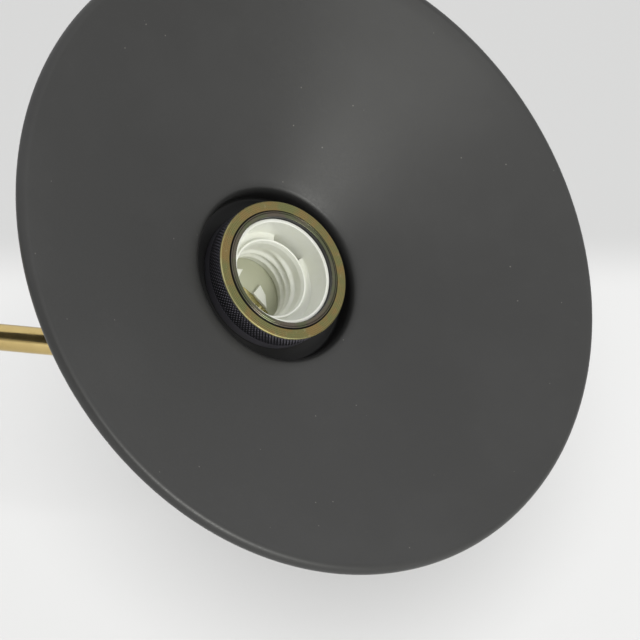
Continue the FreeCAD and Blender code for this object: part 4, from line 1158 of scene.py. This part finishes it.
@dataclass
class Lampholder:
    """The metal holder round the ceramic insert. Millimetres."""

    bore: float = 19.55
    cavity: float = 16.0
    cavity_length: float = 7.0
    skirt: float = 21.6
    body: float = 22.0
    boss: float = 8.0
    boss_length: float = 5.5
    cone: float = 7.5
    shoulder: float = 2.5
    lip_groove: float = 20.95
    groove_half: float = 0.14
    groove_depth: float = 0.3
    # Width of the lip's sides painted black as shade in the grooves beside the ring and the insert.
    groove_shade: float = 0.12
    bright: float = 0.15
    fine_edge: float = 0.05
    seat_edge: float = 0.1
    groove_edge: float = 0.12
    inner_edge: float = 0.2
    edge: float = 0.3
    lip_edge: float = 0.4
    cast_edge: float = 0.5
    foot: float = 0.8
    waist: float = 1.5
    sides: int = 192
    row: float = 3.0
    shell: Span = spanned("lampholder_shell", HEAD)
    insert: Span = spanned("socket_insert", HEAD)
    shade: Span = spanned("shade", HEAD)

    def profile(self) -> np.ndarray:
        """The holder's section, from its lip inwards and round.

        Returns:
            Radius and height of each point.
        """
        shell, seat, groove, ledge = self.shell, self.shade.back, self.lip_groove, self.insert.back
        boss_front, shoulder = shell.back + self.boss_length, seat - self.shoulder
        return eased_outline([
            (self.bore, shell.front, self.inner_edge), (self.bore, ledge, self.inner_edge),
            (self.cavity, ledge, self.inner_edge), (self.cavity, ledge - self.cavity_length, self.foot),
            (shell.inner, boss_front, self.inner_edge), (shell.inner, shell.back, self.edge),
            (self.boss, shell.back, self.cast_edge), (self.boss, boss_front, self.foot),
            (self.body, boss_front + self.cone, self.waist), (self.body, shoulder, self.cast_edge),
            (shell.outer, shoulder, self.edge), (shell.outer, seat, self.edge),
            (self.skirt, seat, self.seat_edge), (self.skirt, shell.front, self.lip_edge),
            (groove + self.groove_half, shell.front, self.groove_edge),
            (groove, shell.front - self.groove_depth, self.fine_edge),
            (groove - self.groove_half, shell.front, self.lip_edge),
        ])

    def pick(self, middles: np.ndarray) -> np.ndarray:
        """Number 1, black, for the lip's sides below its front: painted shade in the grooves beside them; 0
        elsewhere.

        Args:
            middles: the middle of each face.

        Returns:
            The number of each face's finish.
        """
        reach, height = off_axis(middles), middles[:, 2]
        # Painted shade: the lip's sides below its front are black.
        beside = (reach < self.bore + self.groove_shade) | (reach > self.skirt - self.groove_shade)
        below = height < self.shell.front - self.bright
        return np.where(beside & (height > self.shade.back) & below, 1, 0)

    def build(self) -> None:
        """Makes the holder."""
        surface = lathe(finer(self.profile(), self.row), around(self.sides))
        finishes = [Finish.LAMPHOLDER_METAL, Finish.RING_BLACK]
        make_piece("holder_shell", "lampholder_shell", HEAD, surface, finishes, pick=self.pick)


@dataclass
class Insert:
    """The lampholder's ceramic insert: its lamp thread, its pockets and its contacts. Millimetres."""

    skirt: float = 1.5
    edge: float = 1.3
    floor_depth: float = 10.25
    tube_bore: float = 13.5
    tube_wall: float = 1.2
    tube_rise: float = 2.1
    lead_in: float = 0.5
    lead_in_depth: float = 1.7
    base: float = 8.8
    ridge: float = 1.15
    ridge_half: float = 1.6
    ridge_fade: float = 0.15
    pitch: float = 3.63
    turns: int = 3
    first_ridge: float = 8.1
    pocket_start: float = 310.0
    pocket_sweep: float = 42.0
    pocket_depth: float = 9.0
    pocket_side: float = 0.6
    pocket_reach: float = 0.75
    near: float = 0.01
    column: float = 1.5
    pairs: tuple[float, ...] = (-0.9, -0.3, 0.3, 0.9)
    clear: float = 0.25
    large_round: float = 0.6
    small_round: float = 0.3
    rim_round: float = 0.25
    mouth_round: float = 0.2
    row: float = 0.4
    crease: float = 45.0
    contact_angle: float = 231.0
    block: tuple[Spot, ...] = ((1.9, 2.0), (9.25, 2.0), (5.5, 5.5), (1.5, 6.75))
    block_height: float = 1.5
    wedge: tuple[Spot, ...] = ((8.24, 2.29), (4.96, 3.87), (6.6, 6.9), (7.6, 6.9))
    wedge_height: float = 2.5
    block_foot: float = 0.2
    block_edge: float = 0.3
    block_strips: int = 3
    span: Span = spanned("socket_insert", HEAD)
    contacts: tuple[Eased, ...] = (
        Eased(Finish.CONTACT_BRASS, 0.12, ("centre_contact", "side_contact", "contact_screws")),
    )

    @property
    def floor(self) -> float:
        """Height of the ring-shaped floor between the skirt and the tube."""
        return self.span.front - self.floor_depth

    @property
    def tube(self) -> float:
        """The tube's outer radius."""
        return self.tube_bore + self.tube_wall

    @property
    def wall(self) -> float:
        """The skirt's inner radius."""
        return self.span.outer - self.skirt

    @property
    def bottom(self) -> float:
        """Height of the socket's floor."""
        return self.span.back + self.base

    def angles(self) -> np.ndarray:
        """Equal angles, and close pairs at the ends of the two locking pockets.

        Returns:
            The angles in radians, in growing order.
        """
        ends = self.pocket_start + np.array([0, self.pocket_sweep, 180, 180 + self.pocket_sweep])
        close = (ends[:, None] + np.array(self.pairs)).ravel() % 360
        even = np.arange(0, 360, self.column)
        far = np.abs((even[:, None] - close + 180) % 360 - 180).min(axis=1) > self.clear
        return np.radians(np.sort(np.concatenate([even[far], close])))

    def sink_and_thread(self, angle: np.ndarray, radius: np.ndarray, height: np.ndarray) -> Surface:
        """Lowers the locking pockets and raises the lamp thread's ridge.

        A pocket lowers the ring-shaped floor between two angles. The ridge stands in from the tube by
        half its height times (1 + cos) of the way from its middle line, which climbs one pitch a turn.

        Args:
            angle: each point's angle, in radians.
            radius: its radius.
            height: its height.

        Returns:
            The new radius and height.
        """
        way, end = (np.degrees(angle) - self.pocket_start) % 180, self.pocket_sweep
        deep = ramp_up(way, 0, self.pocket_side) * (1 - ramp_up(way, end - self.pocket_side, end))
        between = (radius > self.tube - self.near) & (radius < self.wall + self.near)
        on_floor = between & (np.abs(height - self.floor) < self.pocket_reach)
        lowered = height - self.pocket_depth * deep * on_floor
        low = self.floor + self.tube_rise - self.first_ridge - self.pitch * (self.turns - 0.5)
        turn = (height - low) / self.pitch - angle / (2 * math.pi)
        nearest = np.clip(np.round(turn), 0, self.turns - 1)
        away = np.abs(turn - nearest) * self.pitch
        along = nearest + angle / (2 * math.pi)
        fade = ramp_up(along, 0, self.ridge_fade)
        fade = fade * (1 - ramp_up(along, self.turns - self.ridge_fade, self.turns))
        swell = np.where(away < self.ridge_half, 0.5 + 0.5 * np.cos(math.pi * away / self.ridge_half), 0)
        in_tube = np.abs(radius - self.tube_bore) < self.near
        return radius - self.ridge * swell * fade * in_tube, lowered

    def profile(self) -> np.ndarray:
        """The ceramic's section, from the middle of its back out and in again to the socket's floor.

        Returns:
            Radius and height of each point.
        """
        span, floor, rim = self.span, self.floor, self.floor + self.tube_rise
        large, small = self.large_round, self.small_round
        return eased_outline([
            (0, span.back, 0), (span.outer, span.back, large), (span.outer, span.front, small),
            (span.outer - self.edge, span.front, small), (self.wall, floor, large), (self.tube, floor, large),
            (self.tube, rim, self.rim_round), (self.tube_bore + self.lead_in, rim, self.mouth_round),
            (self.tube_bore, rim - self.lead_in_depth, small), (self.tube_bore, self.bottom, 0),
            (0, self.bottom, 0),
        ], closed=False)

    def build_block(self, name: str, outline: Sequence[Spot], place: Place, height: float) -> None:
        """A raised block on the socket's floor: its outline at two heights, its edges eased.

        Args:
            name: the piece's name.
            outline: the block's corners in the place.
            place: the axes of the outline.
            height: how far the block stands above the floor.
        """
        count = len(outline)
        levels = np.repeat([self.bottom - self.block_foot, self.bottom + height], count)
        points = np.column_stack([np.tile(outline, (2, 1)), levels])
        mesh = bpy.data.meshes.new(name)
        sides = grid_faces(2, count, False).tolist()
        mesh.from_pydata(place.out(points), [], sides + [list(range(count)), list(range(count, 2 * count))])
        mesh.materials.append(Finish.WHITE_CERAMIC.dressed)
        close_up(mesh)
        mesh.shade_smooth()
        piece = settle(mesh, name, "socket_insert")
        soften(piece, self.block_edge, self.block_strips)

    def build(self) -> None:
        """Makes the insert with its blocks, and the contacts with eased edges."""
        surface = lathe(finer(self.profile(), self.row, closed=False), self.angles(), closed=False,
                        shift=self.sink_and_thread)
        make_piece("insert_ceramic", "socket_insert", HEAD, surface, [Finish.WHITE_CERAMIC],
                   crease=self.crease)
        self.build_block("insert_block", self.block, HEAD.turned(self.contact_angle), self.block_height)
        self.build_block("insert_wedge", self.wedge, HEAD, self.wedge_height)
        ease_all(self.contacts)


@dataclass
class Husk:
    """The bell-shaped cover round the lampholder, with the nut that holds it. Millimetres."""

    wall: float = 1.2
    back: float = 15.0
    dome: float = 40.0
    mouth_edge: float = 0.55
    dome_points: int = 24
    sides: int = 256
    row: float = 3.0
    span: Span = spanned("husk", HEAD)
    behind: tuple[Eased, ...] = (
        Eased(Finish.SATIN_BRASS, 0.4, ("head_knuckle",)),
        Eased(Finish.SATIN_BRASS, 0.3, ("head_nipple",)),
        Eased(Finish.PLATED_STEEL, 0.3, ("husk_nut",)),
        Eased(Finish.PLATED_STEEL, 0.15, ("husk_lock_washer",)),
    )

    def arc(self, radius: float, first: float, last: float) -> np.ndarray:
        """Points of the dome's arc: the middle plus the radius times (cos, sin).

        Args:
            radius: the arc's radius.
            first: its first angle, in radians.
            last: its last angle.

        Returns:
            Radius from the axis and height of each point.
        """
        angles = np.linspace(first, last, self.dome_points)
        middle = np.array([self.span.outer - self.dome, self.rise()])
        return middle + radius * np.stack([np.cos(angles), np.sin(angles)], axis=-1)

    def rise(self) -> float:
        """Height of the arc's middle: the arc ends at the flat back's edge."""
        across = self.back - (self.span.outer - self.dome)
        return self.span.back + math.sqrt(self.dome ** 2 - across ** 2)

    def profile(self) -> np.ndarray:
        """The section: out over the back, up the outside, round the mouth and back inside.

        Returns:
            Radius and height of each point.
        """
        span, wall, rise, inner = self.span, self.wall, self.rise(), self.dome - self.wall
        mouth = eased_outline([
            (span.outer, rise, 0), (span.outer, span.front, self.mouth_edge),
            (span.outer - wall, span.front, self.mouth_edge), (span.outer - wall, rise, 0),
        ], closed=False)
        outer_foot = -math.acos((self.back - span.outer + self.dome) / self.dome)
        inner_foot = -math.asin((rise - span.back - wall) / inner)
        return np.concatenate([
            [[span.inner, span.back]], self.arc(self.dome, outer_foot, 0)[:-1], mouth,
            self.arc(inner, 0, inner_foot)[1:], [[span.inner, span.back + wall]],
        ])

    def build(self) -> None:
        """Makes the husk and the pieces that hold it."""
        surface = lathe(finer(self.profile(), self.row), around(self.sides))
        make_piece("husk_bell", "husk", HEAD, surface, [Finish.HUSK_ENAMEL])
        ease_all(self.behind)


# Arm

@dataclass
class Arm:
    """The brass tube, the knuckles at both ends, and their screws, cap nuts and washers. Millimetres."""

    edge: float = 0.35
    bore_edge: float = 0.2
    edge_points: int = 5
    sides: int = 128
    row: float = 8.0
    span: Span = spanned("arm_tube", ARM)
    ends: tuple[Eased, ...] = (
        Eased(Finish.SATIN_BRASS, 0.45, ("arm_root", "swivel_fork", "swing_link")),
        Eased(Finish.SATIN_BRASS, 0.2,
              ("swivel_bush", "lift_screw", "lift_cap_nut", "tilt_screw", "tilt_cap_nut")),
        Eased(Finish.PLATED_STEEL, 0.08, ("swivel_setscrew",)),
        Eased(Finish.NYLON, 0.1, ("lift_washers", "tilt_washers", "swivel_washer")),
    )

    def build_tube(self) -> None:
        """Makes the tube from its section, with eased ends."""
        span = self.span
        corners = [(span.inner, span.back, self.bore_edge), (span.outer, span.back, self.edge),
                   (span.outer, span.front, self.edge), (span.inner, span.front, self.bore_edge)]
        surface = lathe(finer(eased_outline(corners, self.edge_points), self.row), around(self.sides))
        make_piece("arm_tube_polished", "arm_tube", ARM, surface, [Finish.TURNED_BRASS])

    def build(self) -> None:
        """Makes the tube, and the cast and turned pieces at both ends."""
        self.build_tube()
        ease_all(self.ends)


# Wall side

@dataclass
class WallSide:
    """The bracket, the cover with its screws and post, the terminal block and the switch. Millimetres."""

    pieces: tuple[Eased, ...] = (
        Eased(Finish.SATIN_BRASS, 0.25, ("canopy",)),
        Eased(Finish.SATIN_BRASS, 0.45, ("wall_post",)),
        Eased(Finish.SATIN_BRASS, 0.3, ("wall_nipple",)),
        Eased(Finish.SATIN_BRASS, 0.4, ("canopy_screws",)),
        Eased(Finish.SATIN_BRASS, 0.2, ("swing_screw", "swing_cap_nut")),
        Eased(Finish.PLATED_STEEL, 0.15,
              ("wall_bracket", "bracket_nut", "bracket_lock_washer", "earth_screw", "terminal_screws")),
        Eased(Finish.NYLON, 0.1, ("swing_washers",)),
        Eased(Finish.TERMINAL_MOULDING, 0.3, ("terminal_block",)),
        Eased(Finish.BLACK_MOULDING, 0.3, ("switch_body",)),
        Eased(Finish.SWITCH_METAL, 0.3, ("switch_nut",)),
        Eased(Finish.SWITCH_METAL, 0.2, ("switch_lever",)),
    )

    def build(self) -> None:
        """Makes every piece on the wall."""
        ease_all(self.pieces)


# Studio

def aim(thing: bpy.types.Object, place: Sequence[float], *axes: np.ndarray) -> None:
    """Puts a camera or a lamp somewhere and turns it.

    Args:
        thing: the object; it looks along its own -Z.
        place: where it stands, in metres.
        *axes: directions of its X, Y and Z.
    """
    turn = Matrix(np.column_stack(axes).tolist()).to_4x4()
    thing.matrix_world = Matrix.Translation(place) @ turn


def face(lamp: bpy.types.Object, place: Sequence[float], ray: np.ndarray) -> None:
    """Puts a lamp somewhere, level from side to side.

    Args:
        lamp: the lamp.
        place: where it stands, in metres.
        ray: direction from what it lights to the lamp, of length 1.
    """
    side = np.cross((0, 0, 1), ray)
    side = side / np.linalg.norm(side)
    aim(lamp, place, side, np.cross(ray, side), ray)


@dataclass
class Studio:
    """The pale floor, the soft light and the camera.

    rim_depth, lens, sensor and rim_from_camera, which is how far the rim's middle lies to the right of, above
    and before the camera, are millimetres. Other lengths are metres, and angles are degrees.
    """

    rim_depth: float = 124.8
    lens: float = 168.75
    sensor: float = 36.0
    clip: Spot = (0.05, 30.0)
    forward: Vector = (0.88648, -0.12272, -0.44620)
    right: Vector = (-0.13713, -0.99056, 0.0)
    rim_from_camera: Vector = (1.025, 25.47, 1029.25)
    table: Colour = (0.490, 0.490, 0.488)
    wall: Colour = (0.395, 0.395, 0.393)
    paper_roughness: float = 0.9
    paper_gloss: float = 0.2
    turn_over: Spot = (2.052, 2.166)
    floor_level: float = -0.262
    half_floor: float = 12.0
    floor_sun: float = 4.6
    floor_sun_width: float = 16.0
    floor_sun_rise: float = 7.0
    toward_window: Vector = (-0.8844, -0.4281, 0.1859)
    window_distance: float = 1.8
    window_width: float = 0.68
    window_height: float = 0.79
    window_radiance: float = 9.4
    window_tint: Colour = (1.0, 1.0, 0.95)
    sky_light: Spot = (0.59, 0.97)
    sky_height: Spot = (0.0, 0.7)
    toward_stand: Vector = (-0.886, 0.123, 0.446)
    stand_edge: Spot = (0.90, 0.975)
    stand_light: float = 0.25

    def rim_centre(self) -> np.ndarray:
        """The middle of the shade's rim, in metres."""
        return HEAD.out(np.array([0, 0, self.rim_depth]))

    def camera(self) -> np.ndarray:
        """Places the camera at the photograph's angle.

        Returns:
            Its position, in metres.
        """
        forward, right = np.array(self.forward), np.array(self.right)
        up = np.cross(right, forward)
        across, above, before = self.rim_from_camera
        place = self.rim_centre() - MM * (across * right + above * up + before * forward)
        data = bpy.data.cameras.new("camera")
        data.lens, data.sensor_width = self.lens, self.sensor
        data.clip_start, data.clip_end = self.clip
        camera = put_in("camera", data)
        aim(camera, place, right, up, -forward)
        bpy.context.scene.camera = camera
        return place

    def floor(self, camera: np.ndarray) -> bpy.types.Object:
        """One wide pale floor, a shade darker past the place where the wall begins in the photograph.

        It lies just under the lowest place that the head swings down to. The darker part begins at a distance
        from the camera that is a fixed multiple of the camera's height above the floor.

        Args:
            camera: the camera's position, in metres.

        Returns:
            The floor.
        """
        level, half = self.floor_level, self.half_floor
        mesh = bpy.data.meshes.new("floor")
        corners = [(-half, -half, level), (half, -half, level), (half, half, level), (-half, half, level)]
        mesh.from_pydata(corners, [], [(0, 1, 2, 3)])
        piece = put_in("floor", mesh)
        paper = Coating("floor_paper")
        x, y, _ = paper.parts(paper.where)
        ahead = np.array(self.forward[:2]) / math.hypot(*self.forward[:2])
        along = paper.math("MULTIPLY_ADD", x, float(ahead[0]), paper.times(y, float(ahead[1])))
        along = paper.math("SUBTRACT", along, float(camera[:2].dot(ahead)))
        near, far = ((float(camera[2]) - level) * share for share in self.turn_over)
        # The wall colour is painted shade: the darker upright part of a white sweep, painted onto the flat floor
        # beyond the turn.
        paper.give(Base_Color=paper.blend(paper.range(along, near, far), self.table, self.wall),
                   Roughness=self.paper_roughness, Specular_IOR_Level=self.paper_gloss)
        mesh.materials.append(paper.material)
        return piece

    def floor_lamp(self, floor: bpy.types.Object) -> None:
        """A far lamp a little above the camera, for the floor alone, so the shadow lies close below the head.

        Args:
            floor: the only piece that it lights.
        """
        forward, right = np.array(self.forward), np.array(self.right)
        rise = math.radians(self.floor_sun_rise)
        data = bpy.data.lights.new("floor_sun", "SUN")
        data.energy, data.angle = self.floor_sun, math.radians(self.floor_sun_width)
        sun = put_in("floor_sun", data)
        face(sun, (0, 0, 0), math.sin(rise) * np.cross(right, forward) - math.cos(rise) * forward)
        lit = bpy.data.collections.new("lit_by_floor_sun")
        lit.objects.link(floor)
        sun.light_linking.receiver_collection = lit

    def window_lamp(self) -> None:
        """An area lamp that faces the shade; its power is its radiance times its area times pi."""
        data = bpy.data.lights.new("window", "AREA")
        data.shape, data.size, data.size_y = "RECTANGLE", self.window_width, self.window_height
        data.energy = self.window_radiance * self.window_width * self.window_height * math.pi
        data.color = self.window_tint
        ray = np.array(self.toward_window) / np.linalg.norm(self.toward_window)
        face(put_in("window", data), self.rim_centre() + self.window_distance * ray, ray)

    def sky(self) -> None:
        """Even light from all round, dimmer at the horizon and where the camera's stand keeps it off."""
        world = bpy.data.worlds.new("sky")
        bpy.context.scene.world = world
        world.use_nodes = True
        world.node_tree.nodes.clear()
        nodes = Nodes(world.node_tree)
        direction = nodes.add("ShaderNodeTexCoord").outputs["Generated"]
        toward = nodes.add("ShaderNodeVectorMath", operation="DOT_PRODUCT")
        nodes.line_up(toward, direction, self.toward_stand)
        stand = nodes.range(toward.outputs["Value"], *self.stand_edge, 1.0, self.stand_light)
        height = nodes.range(nodes.parts(direction)[2], *self.sky_height, *self.sky_light)
        background = nodes.add("ShaderNodeBackground")
        nodes.fill(background, Color=(1.0, 1.0, 1.0), Strength=nodes.times(height, stand))
        nodes.fill(nodes.add("ShaderNodeOutputWorld"), Surface=background.outputs[0])

    def build(self) -> None:
        """Sets up the camera, the floor and the light."""
        bpy.context.scene.view_settings.view_transform = "Standard"
        self.floor_lamp(self.floor(self.camera()))
        self.sky()
        self.window_lamp()


def main() -> None:
    """Builds the lamp from the head to the wall, then the studio."""
    logging.basicConfig(level=logging.INFO, format="%(name)s: %(message)s")
    for part in (Shade(), RetainingRing(), Lampholder(), Insert(), Husk(), Arm(), WallSide(), Studio()):
        part.build()


if __name__ == "__main__":
    main()
